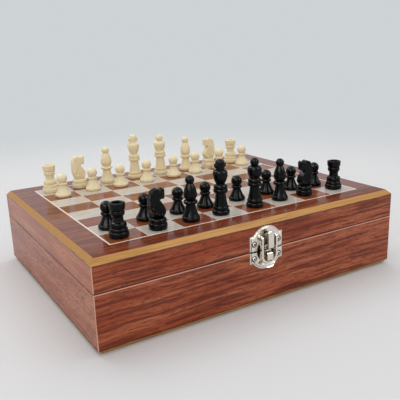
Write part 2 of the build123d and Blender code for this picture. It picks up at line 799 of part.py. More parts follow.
# ================================================================ assembly
def build():
    """Every node of the chess box, by name."""
    envelope = case_envelope()
    nodes = frame_walls("base", bottom_panel_thickness, base_rim, envelope)
    nodes.update(frame_walls("lid", lid_rim, lid_ceiling, envelope))
    nodes["base_back_wall"] = cut_hinge_seats(nodes["base_back_wall"], True)
    nodes["lid_back_wall"] = cut_hinge_seats(nodes["lid_back_wall"], False)
    nodes["base_front_wall"] = cut_latch_holes(nodes["base_front_wall"], lower_screw_x, -lower_screw_height)
    nodes["lid_front_wall"] = cut_latch_holes(nodes["lid_front_wall"], upper_screw_x, upper_screw_height)
    nodes["base_bottom_panel"] = panel(0, bottom_panel_thickness, envelope)
    nodes["lid_top_panel"] = panel(lid_ceiling, box_height, envelope)
    nodes["base_lining"] = lining(bottom_panel_thickness)
    nodes["lid_lining"] = lining(lid_ceiling - lining_thickness)
    nodes["foam_insert"] = foam_insert()
    for side, x in hinge_places().items():
        nodes[f"hinge_{side}_base_leaf"] = Pos(x, 0, 0) * hinge_leaf(True)
        nodes[f"hinge_{side}_lid_leaf"] = Pos(x, 0, 0) * hinge_leaf(False)
    nodes["hinge_pins"] = hinge_pins()
    nodes["hinge_base_screws"] = hinge_screws(True)
    nodes["hinge_lid_screws"] = hinge_screws(False)
    nodes["latch_upper_plate"] = latch_upper_plate()
    nodes["latch_upper_screws"] = latch_screws(upper_screw_x, upper_screw_height)
    nodes["latch_catch_plate"] = latch_catch_plate()
    nodes["latch_catch_screws"] = latch_screws(lower_screw_x, -lower_screw_height)
    nodes["latch_lever"] = latch_lever()
    nodes["latch_lever_pin"] = headed_pin(lever_pivot_standoff, lever_pivot_height, ear_outer)
    nodes["latch_loop"] = latch_loop()
    nodes["latch_loop_pin"] = headed_pin(loop_pivot_standoff, loop_pivot_height, loop_outer_half_width)
    nodes.update(army("black", BLACK_RANK, BLACK_RANK + 1, black_back_offsets, black_pawn_offsets))
    nodes.update(army("white", WHITE_RANK, WHITE_RANK - 1, white_back_offsets, white_pawn_offsets))
    return nodes


os.makedirs("parts", exist_ok=True)
for name, shape in build().items():
    export_step(shape, f"parts/{name}.step")
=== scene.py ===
"""Dresses the chess box: veneered case, printed board, latch, hinges, lining, insert and chessmen.

Sizes in the fields of the classes are in millimetres, and become metres where Blender takes them. The frame
is the CAD one: +X to the right, +Y to the back, +Z up, with the origin under the middle of the case.
"""

import logging
import math
from abc import ABC, abstractmethod
from dataclasses import dataclass, field
from enum import Enum
from typing import Any, Callable

import bmesh
import bpy
from mathutils import Matrix, Vector


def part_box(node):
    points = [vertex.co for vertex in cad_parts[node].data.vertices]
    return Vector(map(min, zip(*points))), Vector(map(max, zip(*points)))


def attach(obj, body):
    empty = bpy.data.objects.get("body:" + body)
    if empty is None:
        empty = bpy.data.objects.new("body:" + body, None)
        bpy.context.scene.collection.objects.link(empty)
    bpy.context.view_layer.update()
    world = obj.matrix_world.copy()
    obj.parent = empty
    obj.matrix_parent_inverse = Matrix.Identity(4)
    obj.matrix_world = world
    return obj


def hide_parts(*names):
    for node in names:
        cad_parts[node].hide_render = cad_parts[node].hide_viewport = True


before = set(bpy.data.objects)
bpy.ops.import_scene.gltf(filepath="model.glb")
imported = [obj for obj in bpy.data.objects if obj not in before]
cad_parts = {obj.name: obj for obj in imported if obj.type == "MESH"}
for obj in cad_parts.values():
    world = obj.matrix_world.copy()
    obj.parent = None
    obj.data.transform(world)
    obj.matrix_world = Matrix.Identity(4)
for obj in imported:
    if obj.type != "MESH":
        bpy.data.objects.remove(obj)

log = logging.getLogger("chess_box")

MM = 0.001
SAME_POINT = 0.002  # points nearer than this, in millimetres, count as one
Socket = bpy.types.NodeSocket
Tree = bpy.types.NodeTree
Node = bpy.types.Node
Piece = bpy.types.Object
Point = tuple[float, float]
Point3 = tuple[float, float, float]
FaceTest = Callable[[Vector, Vector], bool]

# The kinds of node that most finishes share
MATH = "ShaderNodeMath"
VECTOR_MATH = "ShaderNodeVectorMath"
MIX = "ShaderNodeMix"
NOISE = "ShaderNodeTexNoise"
MAPPING = "ShaderNodeMapping"
RANGE = "ShaderNodeMapRange"
BUMP = "ShaderNodeBump"
PRINCIPLED = "ShaderNodeBsdfPrincipled"

# Where the Mix node takes its two colours
UNDER, OVER = 6, 7


# ================================================================ node tools
def linear(code: str) -> tuple[float, float, float, float]:
    """Turns an sRGB hex colour into the linear one that Blender's sockets take.

    Args:
        code: six hex digits after a hash.

    Returns:
        Red, green, blue and an alpha of 1.
    """
    shares = [int(code[place:place + 2], 16) / 255 for place in (1, 3, 5)]
    red, green, blue = (s / 12.92 if s <= 0.04045 else ((s + 0.055) / 1.055) ** 2.4 for s in shares)
    return red, green, blue, 1.0


def add_node(tree: Tree, kind: str, inputs: Any = (), **settings: Any) -> Node:
    """Adds a node with its settings, values and links.

    Args:
        tree: the node tree that gets it.
        kind: the node's type.
        inputs: values by the name or number of their socket, or a list of them in the order of the
            sockets. A socket, or a node with the output that it has in use, is linked.
        settings: the node's own properties.

    Returns:
        The new node.
    """
    node = tree.nodes.new(kind)
    for name, value in settings.items():
        setattr(node, name, value)
    for socket, value in inputs.items() if isinstance(inputs, dict) else enumerate(inputs):
        if isinstance(value, Node):
            value = next(output for output in value.outputs if output.enabled)
        if isinstance(value, Socket):
            tree.links.new(value, node.inputs[socket])
        else:
            node.inputs[socket].default_value = value
    return node


def stained(tree: Tree, ground: Any, *coats: tuple[Any, Any]) -> Node:
    """Lays colours over a ground, one after another.

    Args:
        tree: the node tree.
        ground: the colour at the bottom, as a hex code or a node.
        coats: how much each layer hides of what is under it, and its colour.

    Returns:
        The node with the colour on top.
    """
    for cover, shade in coats:
        under, over = (linear(colour) if isinstance(colour, str) else colour for colour in (ground, shade))
        ground = add_node(tree, MIX, {0: cover, UNDER: under, OVER: over}, data_type="RGBA")
    return ground


@dataclass(frozen=True)
class Place:
    """Where a point of a piece lies, for the parts of a pattern that follow the object."""

    tree: Tree
    point: Socket
    x: Socket
    y: Socket
    z: Socket

    @classmethod
    def of(cls, tree: Tree) -> "Place":
        """Reads the object coordinates."""
        point = add_node(tree, "ShaderNodeTexCoord").outputs["Object"]
        return cls(tree, point, *add_node(tree, "ShaderNodeSeparateXYZ", [point]).outputs)

    def past(self, across: float, along: float) -> Node:
        """How far a point lies past the sides of a rectangle round the middle.

        Args:
            across: half of the rectangle's width, in millimetres.
            along: half of its depth, in millimetres.

        Returns:
            The node with the distances past its sides as X and Y, in metres, below 0 inside.
        """
        from_middle = add_node(self.tree, VECTOR_MATH, [self.point], operation="ABSOLUTE")
        sides = (across * MM, along * MM, 0)
        distances = add_node(self.tree, VECTOR_MATH, [from_middle, sides], operation="SUBTRACT")
        return add_node(self.tree, "ShaderNodeSeparateXYZ", [distances])

    def beyond(self, across: float, along: float) -> Node:
        """How far a point lies outside such a rectangle, in metres, and below 0 inside it."""
        past = self.past(across, along).outputs
        return add_node(self.tree, MATH, [past["X"], past["Y"]], operation="MAXIMUM")

    def wandering(self, reach: float, pitch: float) -> "Place":
        """The same points pushed aside a little, so that grain drawn on them isn't ruled straight.

        Args:
            reach: how far at most, in millimetres.
            pitch: how far apart the bends are, in millimetres.

        Returns:
            The place to draw the grain on.
        """
        tree = self.tree
        push = add_node(tree, NOISE, {"Vector": self.point, "Scale": 1 / (pitch * MM), "Detail": 1.0})
        spread, middle = 2 * reach * MM, -reach * MM
        push = add_node(
            tree, VECTOR_MATH, [push.outputs["Color"], (spread,) * 3, (middle,) * 3], operation="MULTIPLY_ADD"
        )
        point = add_node(tree, VECTOR_MATH, [self.point, push], operation="ADD").outputs[0]
        return Place(tree, point, self.x, self.y, self.z)


# ================================================================ finishes
class Grain(Enum):
    """Which way the grain of a board runs."""

    ALONG_X = 0
    ALONG_Y = 1
    ALONG_Z = 2


def streaks(
    place: Place, grain: Grain, length: float, width: float,
    low: float, high: float, shift: float, cover: float,
) -> Node:
    """Marks that lie along the grain.

    Args:
        place: where the points of the piece lie.
        grain: which way the marks run.
        length: a mark's usual length, in millimetres.
        width: a mark's usual width, in millimetres.
        low: noise value at which a mark starts to show.
        high: noise value at which it shows in full.
        shift: keeps one set of marks off another.
        cover: how much a mark hides what is under it.

    Returns:
        The node with the cover, 0 off the marks.
    """
    tree = place.tree
    scale = [1 / (width * MM)] * 3
    scale[grain.value] = 1 / (length * MM)
    mapped = add_node(tree, MAPPING, {"Vector": place.point, "Location": (shift,) * 3, "Scale": scale})
    noise = add_node(tree, NOISE, {"Vector": mapped, "Scale": 1.0, "Detail": 3.0})
    return add_node(
        tree, RANGE, {"Value": noise, "From Min": low, "From Max": high, "To Max": cover},
        interpolation_type="SMOOTHSTEP",
    )


@dataclass(frozen=True)
class Finish(ABC):
    """What a surface is made of and how it was worked."""

    name: str

    def material(self) -> bpy.types.Material:
        """The finish as a Blender material, made the first time that it is asked for.

        Returns:
            The material.
        """
        found = bpy.data.materials.get(self.name)
        if found:
            return found
        made = bpy.data.materials.new(self.name)
        made.use_nodes = True
        tree = made.node_tree
        tree.nodes.clear()
        add_node(tree, "ShaderNodeOutputMaterial", {"Surface": self.surface(Place.of(tree))})
        return made

    def on(self, *pieces: Piece) -> None:
        """Covers pieces all over with this finish.

        Args:
            pieces: the mesh objects.
        """
        for piece in pieces:
            piece.data.materials.clear()
            piece.data.materials.append(self.material())

    @abstractmethod
    def surface(self, place: Place) -> Node:
        """Adds the finish's nodes.

        Args:
            place: where the points of the piece lie.

        Returns:
            Its shader.
        """


@dataclass(frozen=True)
class CaseSizes:
    """The sizes of the case that its finishes follow."""

    half_width: float
    half_depth: float
    height: float
    seam: float
    chamfer: float = 3.0
    corner: float = 0.8
    veneered_depth: float = 4.0  # nothing deeper in the walls has veneer
    skin: float = 0.4

    @classmethod
    def from_frame(cls) -> "CaseSizes":
        """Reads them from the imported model.

        Returns:
            The sizes.
        """
        _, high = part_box("lid_top_panel")
        _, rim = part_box("base_front_wall")
        return cls(high.x / MM, high.y / MM, high.z / MM, rim.z / MM)


@dataclass(frozen=True)
class Veneer(Finish):
    """Mahogany veneer under lacquer.

    Sliced along the log, it has a red-brown ground with lighter and darker ribbons, and open pores that show
    as short dark dashes. The lacquer over them is level and clear, so the wood stays deep and the gloss is
    even. Where sanding went through the veneer, the tan wood of the core or the thin pinkish edge shows. Just
    under the seam, a pale line is a painted highlight along the base's eased rim.
    """

    case: CaseSizes
    grain: Grain = Grain.ALONG_X
    gloss: float = 0.35
    edge_gloss: float = 0.25
    pore_depth: float = 0.2
    ground: str = "#974423"
    light: str = "#b86845"
    ribbon: str = "#601f0e"
    pore: str = "#34120a"
    # Pale veneer where sanding went through at the corners, and the painted highlight along the rim
    sanded: str = "#c4917c"
    tan: str = "#bf8d50"
    tan_dark: str = "#a0713c"
    # Painted shade: the darker tan of the chamfers on the short sides, and how much of it they get
    side_chamfer_shade: str = "#8c6634"
    side_chamfer_shade_cover: float = 0.35
    inside: str = "#4a2415"
    wander_reach: float = 1.6
    wander_pitch: float = 30.0
    ripple_reach: float = 0.6
    ripple_pitch: float = 14.0
    figure: float = 1.0
    pore_cover: float = 0.7
    rim_sanded: bool = True
    # Painted shade behind the latch: the radius of its dark disc, how far its band along the seam reaches,
    # and its colour
    latch_well: float = 0.0
    seam_shade_reach: float = 11.8
    well: str = "#120806"

    def wood(self, place: Place) -> tuple[Node, Node]:
        """The bare veneer.

        Args:
            place: where the points of the piece lie.

        Returns:
            Its colour, and where its pores are.
        """
        grain = self.grain
        bent = place.wandering(self.wander_reach, self.wander_pitch)
        bands = streaks(bent, grain, length=60, width=7, low=0.35, high=0.7, shift=7, cover=0.8)
        ribbons = streaks(bent, grain, 60, 2.0, low=0.45, high=0.62, shift=0, cover=0.8 * self.figure)
        fibres = streaks(bent, grain, 20, 0.75, low=0.42, high=0.66, shift=11, cover=0.55 * self.figure)
        pores = streaks(bent, grain, 4.5, 0.42, low=0.53, high=0.66, shift=3, cover=self.pore_cover)
        shades = ((bands, self.light), (ribbons, self.ribbon), (fibres, self.ribbon), (pores, self.pore))
        return stained(place.tree, self.ground, *shades), pores

    def with_bare_edges(self, place: Place, colour: Node) -> tuple[Node, Node]:
        """Adds the places where sanding went through the veneer, those that never had any, and a painted
        highlight along the base's rim.

        Args:
            place: where the points of the piece lie.
            colour: the veneer's colour.

        Returns:
            The colour with its bare edges, and where the chamfers are.
        """
        tree, case = place.tree, self.case
        # The saw and the sanding leave an edge that wanders by about half a millimetre
        ripple = {"Vector": place.point, "Scale": 1 / (self.ripple_pitch * MM), "Detail": 2.0}
        ripple = add_node(tree, NOISE, ripple)
        reach = self.ripple_reach * MM
        ripple = add_node(tree, MATH, [ripple, 2 * reach, -reach], operation="MULTIPLY_ADD")
        past = place.past(case.half_width - case.corner, case.half_depth - case.corner).outputs
        corner = add_node(tree, MATH, [past["X"], past["Y"]], operation="MINIMUM")
        corner = add_node(tree, MATH, [ripple, 0.4, corner], operation="MULTIPLY_ADD")
        sanded = add_node(tree, MATH, [corner, 0.3 * MM], operation="GREATER_THAN")
        # A pale line just under the seam is a painted highlight along the base's eased rim
        if self.rim_sanded:
            rim = add_node(tree, MATH, [place.z, (case.seam - 0.45) * MM, 0.35 * MM], operation="COMPARE")
            sanded = add_node(tree, MATH, [sanded, rim], operation="MAXIMUM")
        lines = streaks(place, self.grain, length=25, width=0.7, low=0.35, high=0.7, shift=17, cover=0.9)
        # The chamfers on the short sides are painted a darker tan as shade, since less light falls on them
        # than on the front
        short_side = add_node(tree, MATH, [past["X"], past["Y"]], operation="GREATER_THAN")
        short_side = add_node(tree, MATH, [short_side, self.side_chamfer_shade_cover], operation="MULTIPLY")
        core = stained(tree, self.tan, (lines, self.tan_dark), (short_side, self.side_chamfer_shade))
        chamfers = self.chamfers(place, ripple)
        bare = self.unveneered_and_dark_band(place)
        colour = stained(tree, colour, (sanded, self.sanded), (chamfers, core), (bare, self.inside))
        return colour, chamfers

    def chamfers(self, place: Place, ripple: Node) -> Node:
        """The slopes round the top and the bottom of the case, where the core shows.

        Args:
            place: where the points of the piece lie.
            ripple: how far their borders wander, in metres.

        Returns:
            The node that is 1 on them.
        """
        tree, case = place.tree, self.case
        height = add_node(tree, MATH, [place.z, ripple], operation="ADD")
        high = add_node(tree, MATH, [height, (case.height - case.chamfer) * MM], operation="GREATER_THAN")
        low = add_node(tree, MATH, [height, case.chamfer * MM], operation="LESS_THAN")
        slopes = add_node(tree, MATH, [high, low], operation="MAXIMUM")
        # The level faces that they frame lie inside them
        past_face = place.beyond(case.half_width - case.chamfer, case.half_depth - case.chamfer)
        off_face = add_node(tree, MATH, [past_face, 0.02 * MM], operation="GREATER_THAN")
        return add_node(tree, MATH, [slopes, off_face], operation="MULTIPLY")

    def unveneered_and_dark_band(self, place: Place) -> Node:
        """The inner faces and the rims at the seam, which only have stain, and a dark band along the lid's
        lower edge.

        Args:
            place: where the points of the piece lie.

        Returns:
            The node that is 1 on them.
        """
        tree, case = place.tree, self.case
        past = place.beyond(case.half_width - case.veneered_depth, case.half_depth - case.veneered_depth)
        bare = add_node(tree, MATH, [past, 0.0], operation="LESS_THAN")
        rim = add_node(tree, MATH, [place.z, case.seam * MM, 0.25 * MM], operation="COMPARE")
        skin_depth = (case.veneered_depth - case.skin) * MM
        under_skin = add_node(tree, MATH, [past, skin_depth], operation="LESS_THAN")
        rim = add_node(tree, MATH, [rim, under_skin], operation="MULTIPLY")
        # A dark band runs along the lid's lower edge, just above the seam
        edge = add_node(tree, MATH, [place.z, (case.seam + 0.35) * MM, 0.3 * MM], operation="COMPARE")
        for more in (rim, edge):
            bare = add_node(tree, MATH, [bare, more], operation="MAXIMUM")
        # The top and the underside of the case are dressed all over
        under_top = add_node(tree, MATH, [place.z, (case.height - 0.5) * MM], operation="LESS_THAN")
        over_foot = add_node(tree, MATH, [place.z, 0.5 * MM], operation="GREATER_THAN")
        for limit in (under_top, over_foot):
            bare = add_node(tree, MATH, [bare, limit], operation="MULTIPLY")
        return bare

    def with_latch_well(self, place: Place, colour: Node) -> Node:
        """Adds painted shade behind the latch: a dark disc inside the plates' window, and a dark band along
        the seam beside it.

        Args:
            place: where the points of the piece lie.
            colour: the colour of the wall.

        Returns:
            The colour with the painted shade.
        """
        tree, front, seam = place.tree, -self.case.half_depth * MM, self.case.seam * MM
        away = add_node(tree, VECTOR_MATH, [place.point, (0, front, seam)], operation="DISTANCE")
        away = away.outputs["Value"]
        # Painted shade: a dark disc where the latch's window stands off the wall, and a dark band between its
        # plates
        shaded = add_node(tree, MATH, [away, self.latch_well * MM], operation="LESS_THAN")
        near = add_node(tree, MATH, [away, self.seam_shade_reach * MM], operation="LESS_THAN")
        slot = add_node(tree, MATH, [place.z, seam, 0.5 * MM], operation="COMPARE")
        slot = add_node(tree, MATH, [slot, near], operation="MULTIPLY")
        shaded = add_node(tree, MATH, [shaded, slot], operation="MAXIMUM")
        outside = add_node(tree, MATH, [place.y, front + 0.3 * MM], operation="LESS_THAN")
        shaded = add_node(tree, MATH, [shaded, outside], operation="MULTIPLY")
        return stained(tree, colour, (shaded, self.well))

    def lacquered(self, place: Place, colour: Node, pores: Node, chamfers: Node) -> Node:
        """The shader for wood under lacquer.

        Args:
            place: where the points of the piece lie.
            colour: the wood's colour.
            pores: where its pores are, which the lacquer doesn't quite fill.
            chamfers: where the chamfers are, which got less of it.

        Returns:
            The shader's node.
        """
        tree = place.tree
        dents = {"Strength": self.pore_depth, "Distance": 0.05 * MM, "Height": pores}
        coat = {"Value": chamfers, "To Min": self.gloss, "To Max": self.edge_gloss * self.gloss}
        return add_node(
            tree, PRINCIPLED,
            {
                "Base Color": colour, "Roughness": 0.5, "IOR": 1.5, "Specular IOR Level": 0.1,
                "Coat Weight": add_node(tree, RANGE, coat), "Coat Roughness": 0.06, "Coat IOR": 1.5,
                "Normal": add_node(tree, BUMP, dents, invert=True),
            },
        )

    def surface(self, place: Place) -> Node:
        """Veneer all over, with its bare edges.

        Args:
            place: where the points of the piece lie.

        Returns:
            Its shader.
        """
        colour, pores = self.wood(place)
        colour, chamfers = self.with_bare_edges(place, colour)
        # Painted shade behind the latch
        if self.latch_well:
            colour = self.with_latch_well(place, colour)
        return self.lacquered(place, colour, pores, chamfers)


@dataclass(frozen=True)
class PrintedBoard(Veneer):
    """The lid's face: the same veneer, with the chequer and pale lines printed under the lacquer."""

    gloss: float = 0.75
    ground: str = "#783217"
    light: str = "#9c5129"
    ribbon: str = "#55200e"
    pore: str = "#2a0d06"
    files: int = 8
    ranks: int = 8
    square_width: float = 23.0
    square_depth: float = 17.3
    border: float = 0.9
    hairline: float = 0.22
    hairline_cover: float = 0.7
    pale: str = "#c0b7ab"
    pale_streak: str = "#a6998c"
    line: str = "#ecd2c4"
    dark_tint: str = "#a8652c"
    dark_cover: float = 0.15

    def surface(self, place: Place) -> Node:
        """Veneer with the chequer, inside bare chamfers.

        Args:
            place: where the points of the piece lie.

        Returns:
            Its shader.
        """
        tree = place.tree
        colour, pores = self.wood(place)
        half_width, half_depth = self.files * self.square_width / 2, self.ranks * self.square_depth / 2
        beyond = place.beyond(half_width, half_depth)
        on_board = add_node(tree, MATH, [beyond, 0.0], operation="LESS_THAN")
        half_border = self.border / 2 * MM
        on_border = add_node(tree, MATH, [beyond, half_border, half_border], operation="COMPARE")
        pitch = (self.square_width * MM, self.square_depth * MM, 1.0)
        corner = (half_width * MM, half_depth * MM, 0.0)
        squares = add_node(tree, VECTOR_MATH, [place.point, corner], operation="ADD")
        squares = add_node(tree, VECTOR_MATH, [squares, pitch], operation="DIVIDE")
        count = add_node(tree, VECTOR_MATH, [squares], operation="FLOOR")
        count = add_node(tree, "ShaderNodeSeparateXYZ", [count]).outputs
        count = add_node(tree, MATH, [count["X"], count["Y"]], operation="ADD")
        pale_square = add_node(tree, MATH, [count, 2.0], operation="FLOORED_MODULO")
        streak = streaks(place, self.grain, length=24, width=0.9, low=0.4, high=0.7, shift=11, cover=0.8)
        pale = stained(tree, self.pale, (streak, self.pale_streak))
        # How far a point lies from the nearest line between files, and between ranks
        squares = add_node(tree, "ShaderNodeSeparateXYZ", [squares]).outputs
        off_lines = []
        for axis, width in zip("XY", pitch):
            share = add_node(tree, MATH, [squares[axis], 0.5], operation="PINGPONG")
            off_lines.append(add_node(tree, MATH, [share, width], operation="MULTIPLY"))
        hairline = add_node(tree, MATH, off_lines, operation="MINIMUM")
        hairline = add_node(tree, MATH, [hairline, self.hairline * MM], operation="LESS_THAN")
        hairline = add_node(tree, MATH, [hairline, self.hairline_cover], operation="MULTIPLY")
        dark = (self.dark_cover, self.dark_tint)
        chequer = stained(tree, colour, dark, (pale_square, pale), (hairline, self.line))
        colour = stained(tree, colour, (on_board, chequer), (on_border, self.line))
        colour, chamfers = self.with_bare_edges(place, colour)
        return self.lacquered(place, colour, pores, chamfers)


@dataclass(frozen=True)
class BarrelledMetal(Finish):
    """Sheet metal, stamped, plated and tumbled in a barrel: a soft mirror, broken up by shallow marks."""

    colour: str = "#e6dfd3"
    roughness: float = 0.2
    mark: float = 1.3
    mark_depth: float = 0.05

    def surface(self, place: Place) -> Node:
        """Bright metal, a little duller in patches.

        Args:
            place: where the points of the piece lie.

        Returns:
            Its shader.
        """
        tree = place.tree
        marks = add_node(tree, NOISE, {"Vector": place.point, "Scale": 1 / (self.mark * MM), "Detail": 4.0})
        brightest, dullest = 0.6 * self.roughness, 1.6 * self.roughness
        rough = {"Value": marks, "From Min": 0.3, "From Max": 0.7, "To Min": brightest, "To Max": dullest}
        dents = {"Strength": 0.35, "Distance": self.mark_depth * MM, "Height": marks}
        return add_node(
            tree, PRINCIPLED,
            {
                "Base Color": linear(self.colour), "Metallic": 1.0, "Roughness": add_node(tree, RANGE, rough),
                "Normal": add_node(tree, BUMP, dents),
            },
        )


@dataclass(frozen=True)
class TurnedWood(Finish):
    """Close-grained wood off the lathe under a satin coat: fine tool rings and faint upright fibres."""

    colour: str = "#d9c7a3"
    fibre: str = "#c9b389"
    fibre_cover: float = 0.5
    roughness: float = 0.42
    shine: float = 0.4
    ring_pitch: float = 0.5
    ring_depth: float = 0.02
    brush_depth: float = 0.0

    def surface(self, place: Place) -> Node:
        """Satin wood with tool rings.

        Args:
            place: where the points of the piece lie.

        Returns:
            Its shader.
        """
        tree, grain, cover = place.tree, Grain.ALONG_Z, self.fibre_cover
        fibres = streaks(place, grain, length=9, width=0.5, low=0.4, high=0.7, shift=5, cover=cover)
        colour = stained(tree, self.colour, (fibres, self.fibre))
        # The wave texture has a band every 0.05 / scale
        rings = add_node(
            tree, "ShaderNodeTexWave", {"Vector": place.point, "Scale": 0.05 / (self.ring_pitch * MM)},
            wave_type="BANDS", bands_direction="Z",
        )
        # A thick lacquer keeps the upright marks of the brush, some 1.2 mm apart
        brush = streaks(place, grain, length=14, width=1.2, low=0.2, high=0.8, shift=9, cover=1.0)
        ridges = {"Strength": 0.15, "Distance": self.ring_depth * MM, "Height": rings}
        marks = {"Strength": 0.5, "Distance": self.brush_depth * MM, "Height": brush}
        marks["Normal"] = add_node(tree, BUMP, ridges)
        return add_node(
            tree, PRINCIPLED,
            {
                "Base Color": colour, "Roughness": self.roughness, "Specular IOR Level": self.shine,
                "Normal": add_node(tree, BUMP, marks),
            },
        )


@dataclass(frozen=True)
class Flock(Finish):
    """Short fibres on a soft backing, as on felt and flocked foam: dull, with a soft sheen at the edges."""

    colour: str = "#1d2a22"
    pile: float = 0.5

    def surface(self, place: Place) -> Node:
        """A dull speckled pile.

        Args:
            place: where the points of the piece lie.

        Returns:
            Its shader.
        """
        tree = place.tree
        fuzz = add_node(tree, NOISE, {"Vector": place.point, "Scale": 1 / (self.pile * MM), "Detail": 4.0})
        tufts = {"Strength": 0.5, "Distance": 0.1 * MM, "Height": fuzz}
        return add_node(
            tree, PRINCIPLED,
            {
                "Base Color": stained(tree, self.colour, (fuzz, "#000000")), "Roughness": 1.0,
                "Specular IOR Level": 0.2, "Sheen Weight": 0.3, "Normal": add_node(tree, BUMP, tufts),
            },
        )


@dataclass(frozen=True)
class MattTable(Finish):
    """A pale matt laminate: even and without a mirror image. It fades into the backdrop behind the case."""

    colour: str
    far_colour: str
    fade_start: float = 300.0
    fade_end: float = 700.0

    def surface(self, place: Place) -> Node:
        """Matt table near the case, and the backdrop's colour far off.

        Args:
            place: where the points of the floor lie.

        Returns:
            Its shader.
        """
        tree = place.tree
        reach = add_node(tree, VECTOR_MATH, [place.point], operation="LENGTH").outputs["Value"]
        fade = {"Value": reach, "From Min": self.fade_start * MM, "From Max": self.fade_end * MM}
        fade = add_node(tree, RANGE, fade, interpolation_type="SMOOTHSTEP")
        rays = add_node(tree, "ShaderNodeLightPath")
        fade = add_node(tree, MATH, [fade, rays.outputs["Is Camera Ray"]], operation="MULTIPLY")
        near = {"Base Color": linear(self.colour), "Roughness": 0.8, "Specular IOR Level": 0.2}
        near = add_node(tree, PRINCIPLED, near)
        far = add_node(tree, "ShaderNodeEmission", {"Color": linear(self.far_colour), "Strength": 1.0})
        return add_node(tree, "ShaderNodeMixShader", [fade, near, far])


# ================================================================ bench: tools that shape meshes
def put_down() -> None:
    """Leaves edit mode and deselects everything."""
    if bpy.context.object and bpy.context.object.mode != "OBJECT":
        bpy.ops.object.mode_set(mode="OBJECT")
    bpy.ops.object.select_all(action="DESELECT")


def take_up(*pieces: Piece) -> None:
    """Selects these pieces alone and makes the first one active.

    Args:
        pieces: the mesh objects.
    """
    put_down()
    for piece in pieces:
        piece.select_set(True)
    bpy.context.view_layer.objects.active = pieces[0]


def open_up(piece: Piece, kind: str = "VERT") -> None:
    """Takes a piece into edit mode with nothing selected.

    Args:
        piece: the mesh object.
        kind: what the next selection picks: VERT, EDGE or FACE.
    """
    take_up(piece)
    bpy.ops.object.mode_set(mode="EDIT")
    bpy.ops.mesh.select_mode(type=kind)
    bpy.ops.mesh.select_all(action="DESELECT")


def pick_faces(piece: Piece, test: FaceTest) -> None:
    """Selects the faces that a test passes, in edit mode.

    Args:
        piece: the mesh object, in edit mode.
        test: takes a face's middle, in metres, and its normal.
    """
    mesh = bmesh.from_edit_mesh(piece.data)
    for face in mesh.faces:
        face.select_set(test(face.calc_center_median(), face.normal))
    mesh.select_flush_mode()
    bmesh.update_edit_mesh(piece.data)


def cover_faces(piece: Piece, finish: Finish, test: FaceTest) -> None:
    """Gives some faces of a piece another finish than the rest.

    Args:
        piece: the mesh object.
        finish: what they get.
        test: takes a face's middle, in metres, and its normal.
    """
    piece.data.materials.append(finish.material())
    piece.active_material_index = len(piece.data.materials) - 1
    open_up(piece, "FACE")
    pick_faces(piece, test)
    bpy.ops.object.material_slot_assign()
    put_down()


def newest(name: str) -> Piece:
    """The piece that the last operator added, under its name.

    Args:
        name: what it is called.

    Returns:
        The piece.
    """
    piece = bpy.context.object
    piece.name = piece.data.name = name
    return piece


def settle(piece: Piece, place: Matrix = Matrix.Identity(4)) -> Piece:
    """Moves a piece to its place and puts that place in its mesh.

    Args:
        piece: the mesh object.
        place: where its own origin and axes go, in metres.

    Returns:
        The same piece.
    """
    take_up(piece)
    piece.matrix_world = place @ piece.matrix_world
    bpy.ops.object.transform_apply(location=True, rotation=True, scale=True)
    return piece


def at(x: float, y: float, z: float) -> Matrix:
    """A move to a point in millimetres."""
    return Matrix.Translation(Vector((x, y, z)) * MM)


def copy_of(piece: Piece, name: str) -> Piece:
    """Makes a copy of a piece with its own mesh.

    Args:
        piece: the mesh object.
        name: the copy's name.

    Returns:
        The copy.
    """
    twin = piece.copy()
    twin.data = piece.data.copy()
    twin.name = twin.data.name = name
    bpy.context.scene.collection.objects.link(twin)
    return twin


def join(*pieces: Piece) -> Piece:
    """Makes one piece of several.

    Args:
        pieces: the mesh objects.

    Returns:
        The first of them, which the others are now part of.
    """
    take_up(*pieces)
    bpy.ops.object.join()
    return pieces[0]


def discard(piece: Piece) -> None:
    """Throws away a cutter or a pattern.

    Args:
        piece: the mesh object.
    """
    mesh = piece.data
    bpy.data.objects.remove(piece)
    bpy.data.meshes.remove(mesh)


def finish_modifier(piece: Piece, kind: str, **settings: Any) -> None:
    """Adds a modifier with its settings and applies it.

    Args:
        piece: the mesh object.
        kind: the modifier's type.
        settings: its properties.
    """
    take_up(piece)
    modifier = piece.modifiers.new(kind.lower(), kind)
    for name, value in settings.items():
        setattr(modifier, name, value)
    bpy.ops.object.modifier_apply(modifier=modifier.name)


def carve(piece: Piece, cutter: Piece, operation: str = "DIFFERENCE") -> None:
    """Cuts a piece with another one, or unites them, and throws the other away."""
    finish_modifier(piece, "BOOLEAN", operation=operation, object=cutter, solver="MANIFOLD")
    discard(cutter)


def ease_edges(piece: Piece, width: float, segments: int = 3, angle: float = 35.0) -> None:
    """Rounds the edges that are sharper than an angle.

    Args:
        piece: the mesh object.
        width: how wide the rounding is, in millimetres.
        segments: how many faces it has.
        angle: in degrees.
    """
    finish_modifier(
        piece, "BEVEL", width=width * MM, segments=segments, limit_method="ANGLE",
        angle_limit=math.radians(angle), harden_normals=False,
    )


def smooth(piece: Piece, angle: float = 35.0) -> Piece:
    """Shades a piece smooth, apart from its sharper edges.

    Args:
        piece: the mesh object.
        angle: from how many degrees an edge stays sharp.

    Returns:
        The same piece.
    """
    take_up(piece)
    bpy.ops.object.shade_smooth_by_angle(angle=math.radians(angle))
    return piece


def clean(piece: Piece) -> Piece:
    """Merges the points that lie together and turns every face outwards.

    Args:
        piece: the mesh object.

    Returns:
        The same piece.
    """
    open_up(piece)
    bpy.ops.mesh.select_all(action="SELECT")
    bpy.ops.mesh.remove_doubles(threshold=SAME_POINT * MM)
    bpy.ops.mesh.normals_make_consistent(inside=False)
    put_down()
    return piece


def stand_for(piece: Piece, node: str, body: str) -> Piece:
    """Puts a finished piece in the place of a CAD node.

    Args:
        piece: the mesh object, which already lies in its place.
        node: the CAD node that it stands for.
        body: what it moves with.

    Returns:
        The same piece.
    """
    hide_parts(node)
    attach(piece, body)
    return piece


